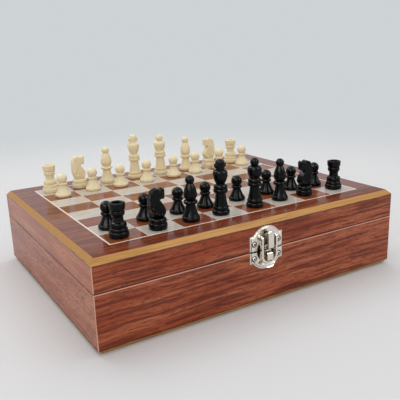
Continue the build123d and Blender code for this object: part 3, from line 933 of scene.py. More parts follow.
def draw_line(name: str, points: list[Vector]) -> Piece:
    """Draws a chain of edges: one point of a plane is kept and extruded from place to place.

    Args:
        name: the new piece's name.
        points: its corners in order, in metres.

    Returns:
        The piece, in edit mode, with its last point selected.
    """
    put_down()
    bpy.ops.mesh.primitive_plane_add(size=MM, location=points[0])
    piece = newest(name)
    bpy.ops.object.transform_apply(location=True)
    open_up(piece)
    bpy.ops.mesh.select_all(action="SELECT")
    bpy.ops.mesh.merge(type="CENTER")
    for before, after in zip(points, points[1:]):
        bpy.ops.mesh.extrude_vertices_move(TRANSFORM_OT_translate={"value": after - before})
    return piece


def curve_points(chain: list[Point], steps: int) -> list[Point]:
    """Divides a Bezier curve.

    Args:
        chain: its start, the points that it bends towards, and its end.
        steps: how many straight edges stand for it.

    Returns:
        The ends of those edges, without the curve's start.
    """
    order = len(chain) - 1
    points = []
    for step in range(1, steps + 1):
        t = step / steps
        weights = [math.comb(order, i) * (1 - t) ** (order - i) * t**i for i in range(order + 1)]
        points.append(tuple(sum(w * p[axis] for w, p in zip(weights, chain)) for axis in (0, 1)))
    return points


@dataclass
class Outline:
    """An outline drawn in a plane, in millimetres, with round stretches worked out from their middles."""

    points: list[Point] = field(default_factory=list)

    def to(self, *points: Point) -> "Outline":
        """Straight on to each of these points."""
        self.points.extend(points)
        return self

    def arc(self, middle: Point, radius: float, start: float, end: float, steps: int = 12) -> "Outline":
        """A round stretch.

        Args:
            middle: the arc's middle.
            radius: its radius.
            start: the direction of its first point, in degrees.
            end: the direction of its last point.
            steps: how many straight edges stand for it.

        Returns:
            The outline.
        """
        for step in range(steps + 1):
            turn = math.radians(start + (end - start) * step / steps)
            self.points.append((middle[0] + radius * math.cos(turn), middle[1] + radius * math.sin(turn)))
        return self

    def bow(self, control: Point, end: Point, steps: int = 8) -> "Outline":
        """A curve towards a control point and on to an end."""
        self.points.extend(curve_points([self.points[-1], control, end], steps))
        return self

    def sheet(self, name: str, thickness: float) -> Piece:
        """Cuts a flat sheet to the closed outline.

        Args:
            name: the new piece's name.
            thickness: upwards from the plane, in millimetres.

        Returns:
            The sheet, lying in its own XY plane.
        """
        piece = draw_line(name, [Vector((a, b, 0)) * MM for a, b in self.points])
        bpy.ops.mesh.select_all(action="SELECT")
        bpy.ops.mesh.edge_face_add()
        bpy.ops.mesh.extrude_region_move(TRANSFORM_OT_translate={"value": (0, 0, thickness * MM)})
        return clean(piece)


@dataclass
class Turning:
    """A lathe profile in millimetres, cut stroke by stroke from the foot up, and spun about its axis."""

    radius: float
    height: float = 0.0
    points: list[Point] = field(default_factory=list)

    def __post_init__(self) -> None:
        """Starts with the underside of the foot."""
        self.points = [(0.0, self.height), (self.radius, self.height)]

    def line(self, radius: float, rise: float = 0.0) -> "Turning":
        """Makes a straight cut.

        Args:
            radius: where it ends.
            rise: how much higher that is.

        Returns:
            The profile.
        """
        self.radius, self.height = radius, self.height + rise
        self.points.append((self.radius, self.height))
        return self

    def curve(self, controls: list[Point], steps: int) -> "Turning":
        """Makes a Bezier cut from the last point past the controls to the last of them.

        Args:
            controls: the points that it bends towards, and its end.
            steps: how many straight edges stand for it.

        Returns:
            The profile.
        """
        self.points.extend(curve_points([self.points[-1], *controls], steps))
        self.radius, self.height = self.points[-1]
        return self

    def bow(self, radius: float, rise: float, swell: float, steps: int = 8) -> "Turning":
        """Makes a cut that swells outwards.

        Args:
            radius: where it ends.
            rise: how much higher that is.
            swell: how far it stands out from a straight cut, below 0 if it is hollow.
            steps: how many straight edges stand for it.

        Returns:
            The profile.
        """
        run = Vector((radius - self.radius, rise))
        outwards = Vector((run.y, -run.x)).normalized() * 2 * swell
        middle = Vector((self.radius, self.height)) + run / 2 + outwards
        return self.curve([tuple(middle), (radius, self.height + rise)], steps)

    def dome(self, rise: float, fullness: float, steps: int = 12) -> "Turning":
        """Rounds the top, which leaves upwards and meets the axis level.

        Args:
            rise: how high it is.
            fullness: how square its shoulder is, from 0 to 1.
            steps: how many straight edges stand for it.

        Returns:
            The profile.
        """
        top = self.height + rise
        shoulder = (self.radius, self.height + fullness * rise)
        return self.curve([shoulder, (fullness * self.radius, top), (0, top)], steps)

    def ball(self, radius: float, steps: int = 18) -> "Turning":
        """Makes a ball from the neck to its top on the axis.

        Args:
            radius: the ball's radius.
            steps: how many straight edges stand for it.

        Returns:
            The profile.
        """
        drop = math.sqrt(radius**2 - self.radius**2)
        start = -math.atan2(drop, self.radius)
        middle = self.height + drop
        for step in range(1, steps + 1):
            turn = start + (math.pi / 2 - start) * step / steps
            self.points.append((radius * math.cos(turn), middle + radius * math.sin(turn)))
        self.radius, self.height = 0.0, middle + radius
        return self

    def spin(self, name: str, steps: int = 64) -> Piece:
        """Turns the piece.

        Args:
            name: the new piece's name.
            steps: how many flat faces go round it.

        Returns:
            The piece, upright on the origin.
        """
        outline = list(self.points)
        if self.radius > 0:
            outline.append((0.0, self.height))
        piece = draw_line(name, [Vector((radius, 0, height)) * MM for radius, height in outline])
        bpy.ops.mesh.select_all(action="SELECT")
        bpy.ops.mesh.spin(steps=steps, angle=2 * math.pi, center=(0, 0, 0), axis=(0, 0, 1))
        return clean(piece)


def spike(name: str, start: Point3, end: Point3, thick: float, thin: float) -> Piece:
    """A round tapering bar from one point to another.

    Args:
        name: the new piece's name.
        start: the middle of its first end, in millimetres.
        end: the middle of its other end.
        thick: the radius at the first end.
        thin: the radius at the other.

    Returns:
        The bar, with rounded ends.
    """
    put_down()
    start, end = Vector(start), Vector(end)
    run = end - start
    bpy.ops.mesh.primitive_cone_add(
        vertices=16, radius1=thick * MM, radius2=thin * MM, depth=run.length * MM,
        location=(start + end) / 2 * MM, rotation=run.to_track_quat("Z", "Y").to_euler(),
    )
    bar = settle(newest(name))
    ease_edges(bar, 0.6 * thin, 3, 60)
    return bar


def bead(name: str, middle: Point3, radius: float) -> Piece:
    """A small ball, for eyes, dents and rounded hollows.

    Args:
        name: the new piece's name.
        middle: where it is, in millimetres.
        radius: in millimetres.

    Returns:
        The ball.
    """
    put_down()
    location = Vector(middle) * MM
    bpy.ops.mesh.primitive_uv_sphere_add(segments=24, ring_count=16, radius=radius * MM, location=location)
    return settle(newest(name))


def peg(name: str, radius: float, length: float, height: float, vertices: int) -> Piece:
    """A round peg that lies along X over the origin.

    Args:
        name: the new piece's name.
        radius: in millimetres.
        length: in millimetres.
        height: how high its axis is, in millimetres.
        vertices: how many flat faces go round it.

    Returns:
        The peg.
    """
    put_down()
    bpy.ops.mesh.primitive_cylinder_add(
        vertices=vertices, radius=radius * MM, depth=length * MM, location=(0, 0, height * MM),
        rotation=(0, math.pi / 2, 0),
    )
    return settle(newest(name))


def trim(piece: Piece, point: Point3, outwards: Point3, reach: float = 60.0) -> None:
    """Saws off what lies beyond a plane.

    Args:
        piece: the mesh object.
        point: a point on the plane, in millimetres.
        outwards: the direction of what goes.
        reach: how far the saw reaches, in millimetres.
    """
    turn = Vector(outwards).to_track_quat("Z", "Y").to_matrix().to_4x4()
    put_down()
    bpy.ops.mesh.primitive_cube_add(size=reach * MM)
    carve(piece, settle(newest("saw"), at(*point) @ turn @ at(0, 0, reach / 2)))


# ================================================================ chessmen
class Colour(Enum):
    """The two sides, as the CAD nodes name them."""

    BLACK = "black"
    WHITE = "white"


@dataclass
class Man(ABC):
    """A kind of chessman, turned from one rod of wood."""

    kind: str
    foot_radius: float = 5.45
    foot_height: float = 3.9
    foot_swell: float = 0.3
    foot_groove: float = 0.4
    foot_edge: float = 0.25
    easing: float = 0.12

    def foot(self) -> Turning:
        """Cuts the foot: a rounded band with a groove above it.

        Returns:
            The profile so far.
        """
        radius, edge = self.foot_radius - self.foot_groove / 2, self.foot_edge
        turning = Turning(radius - edge).line(radius, edge)
        turning.bow(radius, self.foot_height - 2 * edge, self.foot_swell, 10)
        return turning.line(radius - edge, edge).line(radius - 2 * self.foot_groove, -0.1)

    @abstractmethod
    def shape(self) -> Piece:
        """Makes one man of this kind.

        Returns:
            The man, standing at the origin.
        """

    def pattern(self) -> Piece:
        """Finishes the man that the others of its kind are copied from.

        Returns:
            The man, standing at the origin.
        """
        piece = self.shape()
        ease_edges(piece, self.easing, 2, 30)
        return smooth(piece, 40)


@dataclass
class Royal(Man):
    """What the king and the queen share: foot, ring, tapering stem, double collar and urn."""

    foot_height: float = 3.0
    ring_height: float = 2.3
    stem_height: float = 8.3
    collar_height: float = 2.6
    urn_height: float = 6.1
    shoulder_height: float = 2.9
    neck_radius: float = 2.6
    waist_radius: float = 2.6

    def body(self) -> Turning:
        """Cuts everything under the finial.

        Returns:
            The profile up to the neck.
        """
        turning = self.foot().bow(4.6, self.ring_height, 0.35)
        turning.line(4.45).bow(3.0, self.stem_height, -0.15, 12)
        turning.line(4.15, 0.4).bow(4.25, self.collar_height - 0.4, 0.35).line(3.5).line(3.5, 0.2)
        turning.line(3.95).bow(3.8, self.collar_height - 0.2, 0.4).line(self.waist_radius + 0.1)
        turning.line(self.waist_radius, 0.5).bow(4.6, self.urn_height, 0.4, 14)
        return turning.bow(self.neck_radius, self.shoulder_height, 0.7, 12)


@dataclass
class King(Royal):
    """The king, with a stubby plain cross on its head."""

    finial_radius: float = 3.1
    finial_height: float = 2.5
    dome_height: float = 3.7
    dome_fullness: float = 0.75
    arm_span: float = 7.9
    arm_radius: float = 1.55

    def shape(self) -> Piece:
        """Turns the body and lets a short peg through the finial.

        Returns:
            The king.
        """
        turning = self.body().line(self.finial_radius, self.finial_height)
        arms = peg("arms", self.arm_radius, self.arm_span, turning.height, 24)
        ease_edges(arms, 0.9, 5, 60)
        king = turning.dome(self.dome_height, self.dome_fullness).spin("king")
        carve(king, arms, "UNION")
        return king


@dataclass
class Queen(Royal):
    """The queen, with a ball on her head."""

    stem_height: float = 8.1
    urn_height: float = 5.5
    shoulder_height: float = 2.35
    neck_radius: float = 2.0
    waist_radius: float = 3.2
    ball_radius: float = 2.85

    def shape(self) -> Piece:
        """Turns the queen."""
        return self.body().ball(self.ball_radius).spin("queen")


@dataclass
class Bishop(Man):
    """The bishop: a hollow skirt, a double collar, a drop-shaped mitre and a ball."""

    foot_height: float = 3.0
    skirt_height: float = 7.3
    collar_height: float = 1.95
    mitre_height: float = 9.9
    ball_radius: float = 2.8

    def shape(self) -> Piece:
        """Turns the bishop.

        Returns:
            The bishop.
        """
        turning = self.foot().line(4.95).bow(2.8, self.skirt_height, -0.3, 14)
        turning.line(3.9, 0.35).bow(3.95, self.collar_height, 0.4).line(3.3, 0.35).line(2.75, 0.2)
        turning.bow(4.1, 0.3 * self.mitre_height, 0.35, 10).bow(2.0, 0.7 * self.mitre_height, 0.45, 14)
        return turning.ball(self.ball_radius).spin("bishop")


@dataclass
class Rook(Man):
    """The rook: a foot, a step, a drum, a waist and a banded turret with a hollow top."""

    foot_radius: float = 5.7
    foot_height: float = 3.5
    drum_height: float = 3.1
    waist_height: float = 3.4
    band_height: float = 2.6
    turret_height: float = 4.1
    well_radius: float = 2.7
    well_depth: float = 2.6

    def shape(self) -> Piece:
        """Turns the rook, and then its well from above.

        Returns:
            The rook.
        """
        turning = self.foot().line(5.0).bow(4.8, 2.0, 0.25).line(4.4, 0.1)
        turning.bow(4.3, self.drum_height, 0.4).line(3.3, 0.4).bow(3.15, self.waist_height, -0.2)
        turning.line(3.75, 0.3).bow(3.85, self.band_height, 0.3).line(3.5).line(3.5, 0.3)
        turning.line(4.25, 0.3).bow(4.55, self.turret_height - 0.3, 0.15, 10)
        turning.line(self.well_radius + 0.5, 0.3).line(self.well_radius, -0.4)
        return turning.line(self.well_radius, 0.4 - self.well_depth).spin("rook")


@dataclass
class Pawn(Man):
    """The pawn: a low foot, a skirt, a collar and a ball."""

    foot_height: float = 2.6
    skirt_height: float = 5.5
    collar_height: float = 1.8
    ball_radius: float = 3.65

    def shape(self) -> Piece:
        """Turns the pawn.

        Returns:
            The pawn.
        """
        turning = self.foot().line(4.95).bow(2.5, self.skirt_height, -0.2, 12)
        turning.line(3.1, 0.3).bow(3.15, self.collar_height, 0.4, 8)
        return turning.line(2.3).ball(self.ball_radius).spin("pawn")


@dataclass
class Knight(Man):
    """The knight: a horse's head carved from the turned blank, on a plinth, facing +X."""

    plinth_height: float = 3.0
    sink: float = 0.5
    head_height: float = 17.7
    head_length: float = 8.8
    muzzle_depth: float = 7.0
    chest_height: float = 4.4
    chest_thickness: float = 7.2
    poll_thickness: float = 4.8
    ear_height: float = 1.5
    eye_forward: float = 1.35
    eye_drop: float = 2.75
    mouth_height: float = 1.9
    locks: int = 5
    lock_pitch: float = 2.3
    grain_of_cut: float = 0.24

    def profile(self, foot: float, top: float) -> Outline:
        """Draws the head and neck from the side: muzzle to the right, mane to the left.

        Args:
            foot: how high it starts.
            top: how high the ears reach.

        Returns:
            The closed outline.
        """
        front = self.head_length / 2
        chest, chin = foot + self.chest_height, top - self.muzzle_depth
        skull = top - 0.45 * self.ear_height
        outline = Outline([(-0.68 * front, foot), (0.64 * front, foot)])
        outline.bow((0.85 * front, foot + 1.4), (1.02 * front, chest), 6)
        outline.bow((0.92 * front, chest + 2.6), (0.2 * front, chin - 0.1), 8)
        outline.bow((0.5 * front, chin + 0.35), (front - 1.4, chin), 4)
        outline.arc((front - 1.1, chin + 1.1), 1.1, -90, 0, 5)
        outline.arc((front - 1.3, top - 1.9), 1.3, 0, 80, 6)
        outline.bow((0.42 * front, skull - 1.0), (0.12 * front, skull - 0.15), 5)
        outline.bow((-0.25 * front, skull + 0.15), (-0.8 * front, skull - 0.9), 6)
        outline.bow((-1.18 * front, top - 4.5), (-1.1 * front, chin - 1.5), 6)
        return outline.bow((-1.2 * front, foot + 4.2), (-0.68 * front, foot + 0.3), 6)

    def blank(self, foot: float, top: float) -> Piece:
        """Saws the head out, and shapes its neck, cheeks, muzzle and ears.

        Args:
            foot: how high it starts.
            top: how high the ears reach.

        Returns:
            The head.
        """
        chin = top - self.muzzle_depth
        half, poll = self.chest_thickness / 2, self.poll_thickness / 2
        neck = (half - poll - 0.3) / (chin - foot)
        board = self.profile(foot, top).sheet("horse", self.chest_thickness)
        head = settle(board, at(0, half, 0) @ Matrix.Rotation(math.pi / 2, 4, "X"))
        for side in (-1, 1):
            trim(head, (0, side * (half - 0.05), foot + 2.5), (0, side, neck))
            trim(head, (0, side * half, foot + 3.6), (0, side, -0.45))
            trim(head, (0, side * (poll + 0.3), chin - 1.0), (0, side, 0.1))
            wedge = Outline([(0.4, side * 4.0), (0.4, side * 2.6), (5.2, side * 1.9), (5.2, side * 4.0)])
            carve(head, settle(wedge.sheet("muzzle_cut", 9.0), at(0, 0, chin - 0.6)))
            root = (-0.9, side * 1.25, top - self.ear_height - 0.4)
            carve(head, spike("ear", root, (-0.3, side * 1.45, top - 0.1), 0.95, 0.3), "UNION")
        return head

    def cuts(self, foot: float, top: float) -> list[Piece]:
        """Sets out the carver's cuts: flutes on the chest, the mane's locks, nostrils, eyes and mouth.

        Args:
            foot: how high the head starts.
            top: how high the ears reach.

        Returns:
            A cutter for each.
        """
        chin = top - self.muzzle_depth
        mouth = chin + self.mouth_height
        cheek, chest = self.poll_thickness / 2 + 0.42, self.chest_thickness / 2
        cutters = []
        for side in (-1, 1):
            for reach, rise in ((-2.3, 3.6), (-0.2, 2.3), (1.9, 2.4), (3.9, 3.9)):
                start = (0.45 + 0.35 * reach, side * cheek, chin - 0.4)
                cutters.append(spike("flute", start, (reach, side * (chest - 0.05), foot + rise), 0.45, 0.95))
            for lock in range(self.locks):
                height = chin + 3.6 - self.lock_pitch * lock
                skin = cheek + max(0.0, chin - height) / (chin - foot) * (chest - cheek)
                start = (-5.6, side * skin, height + 0.4)
                cutters.append(spike("lock", start, (-2.7, side * (skin + 0.1), height - 1.5), 0.5, 0.25))
            cutters.append(bead("nostril", (3.85, side * 1.95, chin + 3.9), 0.45))
            cutters.append(bead("socket", (self.eye_forward, side * 2.75, top - self.eye_drop), 0.75))
        cutters.append(spike("mouth", (4.9, -3.2, mouth), (4.9, 3.2, mouth), 0.75, 0.75))
        for side in (-1, 1):
            corner = (2.5, side * 2.25, mouth - 0.2)
            cutters.append(spike("lips", (4.6, side * 1.75, mouth), corner, 0.26, 0.16))
        return cutters

    def shape(self) -> Piece:
        """Turns the plinth, carves the head and sets one on the other.

        Returns:
            The knight.
        """
        turning = self.foot().line(4.85).bow(4.7, self.plinth_height - 0.3, 0.35).line(4.2, 0.3)
        foot, top = turning.height - self.sink, turning.height + self.head_height
        plinth = turning.spin("knight")
        ease_edges(plinth, self.easing, 2, 30)
        head = self.blank(foot, top)
        finish_modifier(head, "REMESH", mode="VOXEL", voxel_size=self.grain_of_cut * MM)
        finish_modifier(head, "SMOOTH", factor=0.5, iterations=20)
        for cutter in self.cuts(foot, top):
            carve(head, cutter)
        for side in (-1, 1):
            eye = bead("eye", (self.eye_forward, side * 2.2, top - self.eye_drop), 0.5)
            carve(head, eye, "UNION")
        finish_modifier(head, "REMESH", mode="VOXEL", voxel_size=0.8 * self.grain_of_cut * MM)
        finish_modifier(head, "SMOOTH", factor=0.5, iterations=3)
        return join(plinth, head)

    def pattern(self) -> Piece:
        """The finished knight."""
        return smooth(self.shape(), 45)


# ================================================================ assemblies
class Assembly(ABC):
    """Pieces that are made and dressed together."""

    @abstractmethod
    def build(self) -> list[Piece]:
        """Makes and dresses the pieces.

        Returns:
            The finished pieces.
        """


@dataclass
class Case(Assembly):
    """The veneered box with its printed lid, whose walls and panels keep their CAD shape."""

    sizes: CaseSizes
    # Radius of the dark disc painted behind the latch as shade
    latch_well: float = 7.4

    def finishes(self) -> dict[str, Finish]:
        """Chooses the veneers.

        Returns:
            The finish for each wall or panel that isn't dressed like the back.
        """
        # The side walls get a lighter ground than the front: painted light, as more light falls on the sides;
        # the lid's smoother grain and the base's open pores are the veneer's own
        base_side = Veneer(
            "mahogany_veneer_base_side", self.sizes, Grain.ALONG_Y, 0.5, ground="#9f5335", light="#c07a54",
            figure=0.4, pore_cover=0.95, rim_sanded=False,
        )
        lid_side = Veneer(
            "mahogany_veneer_lid_side", self.sizes, Grain.ALONG_Y, 0.5, ground="#a45838", light="#bf7752",
            figure=0.3, pore_cover=0.4, rim_sanded=False,
        )
        latch_side = Veneer("mahogany_veneer_latch_side", self.sizes, latch_well=self.latch_well)
        chosen: dict[str, Finish] = {
            "lid_top_panel": PrintedBoard("printed_board", self.sizes),
            "base_bottom_panel": Veneer(
                "stained_plywood_base", self.sizes, gloss=0.08, ground="#6f3f26", light="#84543a",
                ribbon="#4c2415", figure=0.5,
            ),
        }
        for half, side in (("base", base_side), ("lid", lid_side)):
            chosen[f"{half}_front_wall"] = latch_side
            chosen[f"{half}_left_wall"] = chosen[f"{half}_right_wall"] = side
        return chosen

    def build(self) -> list[Piece]:
        """Dresses the walls and the panels.

        Returns:
            The CAD pieces, in their veneers.
        """
        plain = Veneer("mahogany_veneer_along_x", self.sizes)
        chosen = self.finishes()
        dressed = []
        for name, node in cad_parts.items():
            if "wall" in name or "panel" in name:
                chosen.get(name, plain).on(node)
                dressed.append(node)
        return dressed


@dataclass
class ToggleLatch(Assembly):
    """The box latch: two stamped plates, a finger lever on the lid's, and a loop that hooks the base's catch.

    Heights are measured from the seam, and stand-offs from the front of the case.
    """

    bright: Finish
    dull_shaded: Finish
    painted_recess_shade: Finish
    sheet_thickness: float = 0.3
    plate_thickness: float = 0.8
    half_width: float = 12.1
    shoulder_half_width: float = 9.6
    upper_shoulder: float = 9.8
    upper_crown: float = 14.9
    lower_shoulder: float = -7.3
    lower_crown: float = -12.3
    half_gap: float = 0.2
    plate_gap: float = 0.45
    border: float = 0.75
    step: float = 0.3
    window_radius: float = 7.2
    bridge: float = 3.6
    upper_screws: Point = (9.0, 4.9)
    lower_screws: Point = (9.1, -4.35)
    dish_radius: float = 1.8
    head_radius: float = 1.35
    cross_reach: float = 0.85
    cross_turn: float = 25.0
    sheet: float = 0.8
    lever_width: float = 4.8
    lever_bottom: float = 1.8
    lever_top: float = 12.9
    lever_face: float = 5.6
    lever_back: float = 1.5
    lever_pivot: Point = (2.8, 3.0)
    thumb_radius: float = 5.0
    thumb_depth: float = 0.35
    ear_radius: float = 1.1
    ear_gap: float = 0.2
    loop_pivot_height: float = 8.0
    loop_near: float = 1.0
    loop_far: float = 4.0
    loop_inner: float = 4.6
    loop_outer: float = 5.7
    loop_bend: float = 4.2
    loop_bar_top: float = -6.65
    catch_half_width: float = 2.2

    def facing(self) -> Matrix:
        """Takes (x, height, stand-off) to the front of the case."""
        low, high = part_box("base_front_wall")
        middle = (0, low.y, high.z + self.half_gap * MM)
        return Matrix.Translation(middle) @ Matrix.Rotation(math.pi / 2, 4, "X")

    def edgeways(self, outline: Outline, name: str, width: float, middle: float = 0.0) -> Piece:
        """Cuts a piece to an outline in (stand-off, height), and sets it at the front of the case.

        Args:
            outline: how it looks from the side.
            name: what it is called.
            width: how wide it is in x.
            middle: the x of its middle.

        Returns:
            The piece, in its place.
        """
        reach = (middle + width / 2) * MM
        turn = Matrix(((0, 0, -1, reach), (0, 1, 0, 0), (1, 0, 0, 0), (0, 0, 0, 1)))
        return settle(outline.sheet(name, width), self.facing() @ turn)

    def build(self) -> list[Piece]:
        """Makes and fits every piece of the latch.

        Returns:
            The two plates, the lever, the loop, the screws in pairs and the two pins.
        """
        fitted = [
            self.fit(self.upper_plate(), "lid", "latch_upper_plate"),
            self.fit(self.catch_plate(), "base", "latch_catch_plate"),
            self.fit(self.lever(), "latch_lever", "latch_lever"),
            self.fit(self.loop(), "latch_loop", "latch_loop"),
        ]
        screw = self.screw()
        fitted.append(self.fit(self.pair(screw, self.upper_screws), "lid", "latch_upper_screws"))
        fitted.append(self.fit(self.pair(screw, self.lower_screws), "base", "latch_catch_screws"))
        discard(screw)
        pins = [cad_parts["latch_lever_pin"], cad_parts["latch_loop_pin"]]
        self.dull_shaded.on(*pins)
        return fitted + pins

    def fit(self, piece: Piece, body: str, node: str) -> Piece:
        """Plates a piece and puts it in the place of a CAD node.

        What faces out is bright. Faces turned sideways or away from the front get a rougher copy of the
        plating, painted darker as shade, and the screws' dishes and cross recesses are painted dark as shade.

        Args:
            piece: the mesh object, which already lies in its place.
            body: what it moves with.
            node: the CAD node that it stands for.

        Returns:
            The same piece.
        """
        piece.name = piece.data.name = f"{node}_plated"
        smooth(piece, 40)
        self.bright.on(piece)
        if node in ("latch_lever", "latch_catch_plate", "latch_upper_plate"):
            # Side faces and faces turned away from the front: rougher plating, painted darker as shade
            cover_faces(piece, self.dull_shaded, lambda middle, normal: abs(normal.x) > 0.6 or -normal.y < 0.2)
        # The screws' dishes and cross recesses are painted dark as shade
        if "plate" in node:
            cover_faces(piece, self.painted_recess_shade, self.in_dish)
        if "screws" in node:
            cover_faces(piece, self.painted_recess_shade, self.in_cross)
        return stand_for(piece, node, body)

    def from_screw(self, middle: Vector) -> Point:
        """Measures from the nearest screw.

        Args:
            middle: a point, in metres.

        Returns:
            How far it lies from that screw's axis, and from the front of the case, in millimetres.
        """
        x, height, standoff = self.facing().inverted() @ middle / MM
        away = min(math.dist((abs(x), height), screw) for screw in (self.upper_screws, self.lower_screws))
        return away, standoff

    def in_dish(self, middle: Vector, normal: Vector) -> bool:
        """Whether a face is the floor or the wall of a screw's dish, which is painted dark as shade."""
        away, standoff = self.from_screw(middle)
        return away < self.dish_radius + 0.13 and standoff < self.plate_thickness - 0.03

    def in_cross(self, middle: Vector, normal: Vector) -> bool:
        """Whether a face lies in the cross of a screw's head."""
        away, standoff = self.from_screw(middle)
        return away < self.cross_reach and standoff < self.plate_thickness + 0.25

    def plate(self, name: str, shoulder: float, crown: float, screws: Point) -> Piece:
        """Stamps a plate: a flat border, a raised middle, half of the round window and two dished holes.

        Args:
            name: the new piece's name.
            shoulder: the height where its straight sides end.
            crown: the height of its rounded end.
            screws: how far out and how high its screws are.

        Returns:
            The plate, in its place.
        """
        up = 1 if crown > 0 else -1
        rise = abs(crown - shoulder)
        radius = (self.shoulder_half_width**2 + rise**2) / (2 * rise)
        reach = math.degrees(math.asin(self.shoulder_half_width / radius))
        past_seam = -3 * up
        outline = Outline([(-self.half_width, past_seam), (self.half_width, past_seam)])
        outline.to((self.half_width, shoulder))
        outline.arc((0, crown - up * radius), radius, up * (90 - reach), up * (90 + reach), 28)
        outline.to((-self.half_width, shoulder))
        plate = outline.sheet(name, self.sheet_thickness)
        raised = self.plate_thickness - self.sheet_thickness
        open_up(plate, "FACE")
        pick_faces(plate, lambda middle, normal: normal.z > 0.9)
        bpy.ops.mesh.inset(thickness=self.border * MM)
        bpy.ops.mesh.inset(thickness=self.step * MM, depth=raised * MM)
        put_down()
        trim(plate, (0, up * self.plate_gap, 0), (0, -up, 0))
        reach = math.degrees(math.acos(self.bridge / self.window_radius))
        for turn in (0, 180):
            half_moon = Outline().arc((0, 0), self.window_radius, turn - reach, turn + reach, 24)
            carve(plate, settle(half_moon.sheet("half_moon", 4), at(0, 0, -1)))
        dish = Turning(self.dish_radius, 0.25).line(self.dish_radius, 0.4).line(self.dish_radius + 0.2, 0.3)
        for side in (-1, 1):
            carve(plate, settle(dish.spin("dish", 32), at(side * screws[0], screws[1], 0)))
        ease_edges(plate, 0.1, 2, 30)
        return settle(plate, self.facing())

    def upper_plate(self) -> Piece:
        """Makes the lid's plate, with the two ears that carry the lever.

        Returns:
            The plate, in its place.
        """
        plate = self.plate("upper_plate", self.upper_shoulder, self.upper_crown, self.upper_screws)
        standoff, height = self.lever_pivot
        ear = Outline([(self.sheet_thickness, height + side * self.ear_radius) for side in (1, -1)])
        ear.arc((standoff, height), self.ear_radius, -90, 90, 14)
        for side in (1, -1):
            middle = side * (self.lever_width / 2 + self.ear_gap + self.sheet / 2)
            carve(plate, self.edgeways(ear, "ear", self.sheet, middle), "UNION")
        return plate

    def catch_plate(self) -> Piece:
        """Makes the base's plate, with the catch that the loop hooks under.

        Returns:
            The plate, in its place.
        """
        plate = self.plate("catch_plate", self.lower_shoulder, self.lower_crown, self.lower_screws)
        nose = Outline([(0.3, -6.25), (0.3, -1.2), (1.6, -0.9)]).arc((3.4, -2.0), 1.1, 90, 0, 6)
        nose.to((4.5, -5.2)).bow((4.5, -6.35), (3.6, -6.35), 5)
        catch = self.edgeways(nose, "catch", 2 * self.catch_half_width)
        ease_edges(catch, 0.3, 3, 50)
        carve(plate, catch, "UNION")
        return plate

    def tombstone(self, inset: float) -> Outline:
        """Draws the lever's face: straight sides and a round top.

        Args:
            inset: how far inside the lever's edge it runs.

        Returns:
            The closed outline.
        """
        half, bottom = self.lever_width / 2, self.lever_bottom + inset
        outline = Outline([(-half + inset, bottom), (half - inset, bottom)])
        return outline.arc((0, self.lever_top - half), half - inset, 0, 180, 24)

    def lever(self) -> Piece:
        """Makes the finger lever: a channel with a rounded face, open at the back and at the heel.

        Returns:
            The lever, in its place.
        """
        back, face = self.lever_back, self.lever_face
        bottom, top = self.lever_bottom, self.lever_top
        lever = settle(self.tombstone(0).sheet("lever", face - back), at(0, 0, back))
        open_up(lever, "FACE")
        pick_faces(lever, lambda middle, normal: normal.z > 0.9)
        bpy.ops.mesh.bevel(offset=0.7 * MM, segments=3, affect="EDGES")
        put_down()
        thumb = (0, top - 3.0, face + self.thumb_radius - self.thumb_depth)
        carve(lever, bead("thumb", thumb, self.thumb_radius))
        hollow = self.tombstone(self.sheet).sheet("hollow", face - back)
        carve(lever, settle(hollow, at(0, 0, back - self.sheet)))
        settle(lever, self.facing())
        behind, under_face = back - 1, face - 1.6
        slope = Outline([(behind, 9.8), (under_face, top - 0.8), (under_face, top + 1), (behind, top + 1)])
        carve(lever, self.edgeways(slope, "slope", self.lever_width + 2))
        heel = Outline([(behind, bottom - 1), (face - 0.8, bottom - 1), (under_face, bottom + 0.8)])
        heel.to((behind, bottom + 0.8))
        carve(lever, self.edgeways(heel, "heel", self.lever_width - 2 * self.sheet))
        ease_edges(lever, 0.08, 2, 50)
        return lever

    def loop(self) -> Piece:
        """Makes the loop: a strip bent to a narrow U that hangs on the lever, with a finger tab below.

        Returns:
            The loop, in its place.
        """
        inner, outer, bend = self.loop_inner, self.loop_outer, self.loop_bend
        near, far, pivot = self.loop_near, self.loop_far, self.loop_pivot_height
        half_depth = (far - near) / 2
        top = pivot + half_depth
        corner = (inner - bend, self.loop_bar_top + bend)
        outline = Outline([(outer, top)]).to((inner, top)).arc(corner, bend, 0, -90, 10)
        outline.arc((-corner[0], corner[1]), bend, -90, -180, 10).to((-inner, top), (-outer, top))
        outline.arc((-corner[0], corner[1]), bend + outer - inner, -180, -90, 10)
        outline.arc(corner, bend + outer - inner, -90, 0, 10)
        loop = settle(outline.sheet("loop", 2 * half_depth), self.facing() @ at(0, 0, near))
        # The arms' ends are rounded about the pin
        ends = Outline([(near - 1, top + 1), (near - 1, pivot), (near, pivot)])
        ends.arc(((near + far) / 2, pivot), half_depth, 180, 0, 12).to((far + 1, pivot), (far + 1, top + 1))
        carve(loop, self.edgeways(ends, "ends", 4 * outer))
        root = self.loop_bar_top - 0.3
        lip = Outline([(2.1, root), (2.15, -7.9), (3.45, -10.7), (4.12, -10.4)])
        tab = self.edgeways(lip.bow((2.75, -7.8), (2.75, root), 8), "tab", 2 * outer)
        above = self.loop_bar_top + 3
        outside = Outline([(-outer, above)]).arc((0, -5.0), outer, 180, 360, 28).to((outer, above))
        carve(tab, settle(outside.sheet("outside", 12), self.facing() @ at(0, 0, -2)), "INTERSECT")
        carve(loop, tab, "UNION")
        ease_edges(loop, 0.16, 2, 40)
        return loop

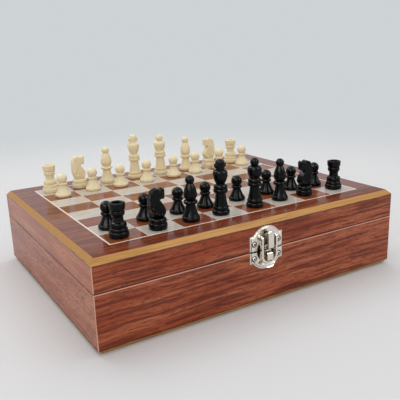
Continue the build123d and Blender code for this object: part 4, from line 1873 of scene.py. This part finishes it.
    def screw(self) -> Piece:
        """Makes a round-headed screw with a cross recess.

        Returns:
            The screw, with its seat at height 0.
        """
        sunk, rim = -0.4, self.head_radius
        turning = Turning(0.75, -2.0).line(0.75, 2.0 + sunk).line(rim - 0.1).line(rim, 0.25)
        screw = turning.bow(0.9, 0.5, 0.18).bow(0.0, 0.13, 0.03).spin("screw", 40)
        for turn in (0, 90):
            put_down()
            bpy.ops.mesh.primitive_cube_add(size=MM, location=(0, 0, 0.4 * MM), scale=(1.6, 0.6, 1.0))
            turned = Matrix.Rotation(math.radians(turn + self.cross_turn), 4, "Z")
            carve(screw, settle(newest("driver"), turned))
        ease_edges(screw, 0.05, 2, 40)
        return screw

    def pair(self, screw: Piece, place: Point) -> Piece:
        """Copies the screw to both sides of a plate.

        Args:
            screw: what is copied.
            place: how far out and how high the screws are.

        Returns:
            Both screws as one piece, in their place.
        """
        seats = [self.facing() @ at(side * place[0], place[1], self.plate_thickness) for side in (-1, 1)]
        return join(*[settle(copy_of(screw, "pair_of_screws"), seat) for seat in seats])


@dataclass
class Hinges(Assembly):
    """The two butt hinges, whose stamped leaves, pins and screws keep their CAD shape."""

    brass: Finish
    easing: float = 0.08

    def build(self) -> list[Piece]:
        """Plates every piece, and rounds its edges a little, as tumbling does.

        Returns:
            The CAD pieces, plated.
        """
        pieces = [node for name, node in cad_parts.items() if name.startswith("hinge")]
        self.brass.on(*pieces)
        for piece in pieces:
            weld = piece.modifiers.new("weld", "WELD")
            weld.merge_threshold = SAME_POINT * MM
            edges = piece.modifiers.new("tumbled", "BEVEL")
            edges.width, edges.segments = self.easing * MM, 2
            edges.limit_method, edges.angle_limit = "ANGLE", math.radians(40)
        return pieces


@dataclass
class Storage(Assembly):
    """What lies in the case: felt on both panels, and a flocked foam insert with a pocket for each colour."""

    felt: Finish
    foam: Finish
    rim: float = 9.0
    divider: float = 12.0
    pocket_radius: float = 7.0
    notch_radius: float = 14.0
    notch_depth: float = 9.0
    roll: float = 1.6
    felt_edge: float = 0.35

    def build(self) -> list[Piece]:
        """Lays the felt and sets the insert in.

        Returns:
            The two linings and the insert.
        """
        base = self.lining("base_lining", "base_bottom_panel", "base")
        lid = self.lining("lid_lining", "lid_top_panel", "lid")
        return [base, lid, self.insert()]

    def block(self, node: str, surface: str) -> Piece:
        """Fills the box of a CAD node.

        Args:
            node: the CAD node.
            surface: what is added to its name.

        Returns:
            A plain block.
        """
        low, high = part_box(node)
        put_down()
        bpy.ops.mesh.primitive_cube_add(size=1, location=(low + high) / 2, scale=high - low)
        return settle(newest(f"{node}_{surface}"))

    def lining(self, node: str, panel: str, body: str) -> Piece:
        """Lays a felt sheet with soft edges that are pressed down all round.

        Args:
            node: the CAD node that it stands for.
            panel: the CAD node that it is glued to; not used.
            body: what it moves with.

        Returns:
            The sheet.
        """
        low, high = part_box(node)
        sheet = self.block(node, "felt")
        ease_edges(sheet, self.felt_edge * (high.z - low.z) / MM, 3, 60)
        self.felt.on(smooth(sheet, 60))
        stand_for(sheet, node, body)
        return sheet

    def insert(self) -> Piece:
        """Makes the foam insert: pockets cut down to the felt, a thumb notch, and every edge rolled soft.

        Returns:
            The insert.
        """
        low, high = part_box("foam_insert")
        size = (high - low) / MM
        foam = self.block("foam_insert", "flocked")
        half_width = (size.x - 2 * self.rim - self.divider) / 4
        half_depth, radius = size.y / 2 - self.rim, self.pocket_radius
        for side in (-1, 1):
            pocket = Outline()
            for turn, (across, along) in enumerate(((1, 1), (-1, 1), (-1, -1), (1, -1))):
                corner = (across * (half_width - radius), along * (half_depth - radius))
                pocket.arc(corner, radius, 90 * turn, 90 * turn + 90, 10)
            middle = side * (self.divider / 2 + half_width)
            carve(foam, settle(pocket.sheet("pocket", 2 * size.z), at(middle, 0, low.z / MM - size.z / 2)))
        height = high.z / MM + self.notch_radius - self.notch_depth
        carve(foam, peg("notch", self.notch_radius, 2 * self.divider, height, 64))
        ease_edges(foam, self.roll, 5, 40)
        self.foam.on(smooth(foam, 60))
        stand_for(foam, "foam_insert", "base")
        return foam


@dataclass
class Chessmen(Assembly):
    """The thirty-two men, each on the body that its CAD node moves with."""

    black: Finish
    white: Finish
    off_board: float = 0.02  # keeps a man's underside and the board from lying in one plane

    def build(self) -> list[Piece]:
        """Makes one man of each kind and stands a copy in every man's place.

        Returns:
            The men.
        """
        men = []
        for kind in (King, Queen, Bishop, Knight, Rook, Pawn):
            man = kind(kind.__name__.lower())
            pattern = man.pattern()
            for colour in Colour:
                start = f"{colour.value}_{man.kind}"
                for name in sorted(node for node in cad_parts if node.startswith(start)):
                    men.append(self.stand(pattern, name, colour))
            discard(pattern)
        return men

    def stand(self, pattern: Piece, name: str, colour: Colour) -> Piece:
        """Copies a man to where the CAD man stands.

        Args:
            pattern: what is copied.
            name: the CAD man.
            colour: its side.

        Returns:
            The man.
        """
        low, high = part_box(name)
        piece = copy_of(pattern, f"{name}_turned")
        faces_left = "knight" in name and name.endswith("right")
        turn = Matrix.Rotation(math.pi if faces_left else 0.0, 4, "Z")
        foot = Vector(((low.x + high.x) / 2, (low.y + high.y) / 2, low.z + self.off_board * MM))
        settle(piece, Matrix.Translation(foot) @ turn)
        finish, slot = (self.black, "black_wood") if colour is Colour.BLACK else (self.white, "pale_wood")
        finish.on(piece)
        return stand_for(piece, name, name)


# ================================================================ studio
@dataclass
class Studio(Assembly):
    """Floor, backdrop, lamps and camera."""

    floor_radius: float = 3000.0
    floor_colour: str = "#d2d1d0"
    sky_colour: str = "#dfe1e4"
    backdrop_colour: str = "#ced3d5"
    backdrop_top: Point = (0.385, 0.41)
    backdrop_behind: Point = (0.3, 0.6)
    room_colour: str = "#7c7976"
    soft_boxes: tuple[Point3, ...] = ((0.5, -0.6, 0.62), (-0.8, -0.4, 0.75), (-0.5, 0.75, 0.9))
    soft_box_edge: Point = (0.93, 0.97)
    glow: float = 5.5
    camera_place: Point3 = (-197.6, -337.4, 158.3)
    camera_down: float = 15.976
    camera_yaw: float = 31.241
    camera_roll: float = -1.91
    lens: float = 50.71

    def build(self) -> list[Piece]:
        """Sets up everything that isn't part of the object.

        Returns:
            The floor.
        """
        self.set_camera()
        self.set_world()
        self.set_lamps()
        bpy.context.scene.view_settings.view_transform = "Standard"
        return [self.floor()]

    def set_camera(self) -> None:
        """A camera that looks down a little at the near corner of the case."""
        data = bpy.data.cameras.new("camera")
        data.lens = self.lens
        camera = bpy.data.objects.new("camera", data)
        bpy.context.scene.collection.objects.link(camera)
        turn = Matrix.Identity(4)
        for angle, axis in ((-self.camera_yaw, "Z"), (90 - self.camera_down, "X"), (self.camera_roll, "Z")):
            turn = turn @ Matrix.Rotation(math.radians(angle), 4, axis)
        camera.matrix_world = at(*self.camera_place) @ turn
        bpy.context.scene.camera = camera

    def set_world(self) -> None:
        """A pale sky that lights evenly and shows as the backdrop."""
        world = bpy.data.worlds.new("studio")
        bpy.context.scene.world = world
        world.use_nodes = True
        tree = world.node_tree
        tree.nodes.clear()
        rays = add_node(tree, "ShaderNodeLightPath").outputs
        seen, glossy = rays["Is Camera Ray"], rays["Is Glossy Ray"]
        for more in (rays["Is Transmission Ray"], glossy):
            seen = add_node(tree, MATH, [seen, more], operation="MAXIMUM")
        direction = add_node(tree, "ShaderNodeTexCoord").outputs["Generated"]
        axes = add_node(tree, "ShaderNodeSeparateXYZ", [direction]).outputs
        slope = add_node(tree, MATH, [axes["Z"], axes["Y"]], operation="DIVIDE")
        # Behind the case the backdrop ends in a level edge, and reflections show the dim room over it
        ramps = [[(slope, self.backdrop_top), (axes["Y"], self.backdrop_behind)]]
        shades = [self.room_colour]
        # Soft boxes that only reflections show, which put the highlights on the men and on the latch
        for axis in self.soft_boxes:
            toward = tuple(Vector(axis).normalized())
            facing = add_node(tree, VECTOR_MATH, [direction, toward], operation="DOT_PRODUCT")
            ramps.append([(facing.outputs["Value"], self.soft_box_edge)])
            shades.append((self.glow, self.glow, self.glow, 1))
        coats = [(seen, self.backdrop_colour)]
        for limits, shade in zip(ramps, shades):
            cover = glossy
            for value, (start, end) in limits:
                ramp = {"Value": value, "From Min": start, "From Max": end}
                ramp = add_node(tree, RANGE, ramp, interpolation_type="SMOOTHSTEP")
                cover = add_node(tree, MATH, [cover, ramp], operation="MULTIPLY")
            coats.append((cover, shade))
        colour = stained(tree, self.sky_colour, *coats)
        sky = add_node(tree, "ShaderNodeBackground", {"Color": colour, "Strength": 1.0})
        add_node(tree, "ShaderNodeOutputWorld", {"Surface": sky})

    def floor(self) -> Piece:
        """Makes a pale table that fades into the backdrop behind the case.

        Returns:
            The floor.
        """
        put_down()
        bpy.ops.mesh.primitive_circle_add(vertices=96, radius=self.floor_radius * MM, fill_type="NGON")
        floor = newest("floor")
        MattTable("matt_table", self.floor_colour, self.backdrop_colour).on(floor)
        return floor

    def set_lamps(self) -> None:
        """Soft boxes: a large one overhead and behind, and a smaller one at the front left."""
        for name, place, size, power in (
            ("overhead", (50, 300, 1100), 1200, 6.0),
            ("front", (-700, -900, 700), 700, 3.0),
        ):
            data = bpy.data.lights.new(name, "AREA")
            data.size = size * MM
            data.energy = power
            lamp = bpy.data.objects.new(name, data)
            bpy.context.scene.collection.objects.link(lamp)
            lamp.location = Vector(place) * MM
            lamp.rotation_euler = (-Vector(place)).to_track_quat("-Z", "Y").to_euler()


def main() -> None:
    """Builds the looks, assembly by assembly, and reports each piece."""
    logging.basicConfig(level=logging.INFO)
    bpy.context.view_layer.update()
    nickel = BarrelledMetal("nickel_plate")
    # The darker copies of the plating are painted shade: on the latch's side faces, in its dishes and in the
    # screws' recesses
    dull_shaded_nickel = BarrelledMetal("nickel_plate_unpolished_painted_shade", "#8f877b", 0.38, 0.7, 0.1)
    painted_recess_shade = BarrelledMetal("nickel_plate_painted_shade_in_recesses", "#2b2622", 0.6)
    brass = BarrelledMetal("brass_plate", "#c9a862", 0.24)
    felt, foam = Flock("green_felt", "#1f3a2b", 0.5), Flock("flocked_foam", "#1b1c1d", 0.4)
    black = TurnedWood("black_lacquered_wood", "#020303", "#040404", 0.2, 0.14, 0.16, brush_depth=0.1)
    white = TurnedWood("pale_waxed_wood", "#e5d6b0", "#d6c298", 0.5, 0.42, 0.3, brush_depth=0.03)
    for assembly in (
        Studio(), Case(CaseSizes.from_frame()), ToggleLatch(nickel, dull_shaded_nickel, painted_recess_shade), Hinges(brass),
        Storage(felt, foam), Chessmen(black, white),
    ):
        for piece in assembly.build():
            log.info("%s: %s, %d faces", type(assembly).__name__, piece.name, len(piece.data.polygons))


if __name__ == "__main__":
    main()
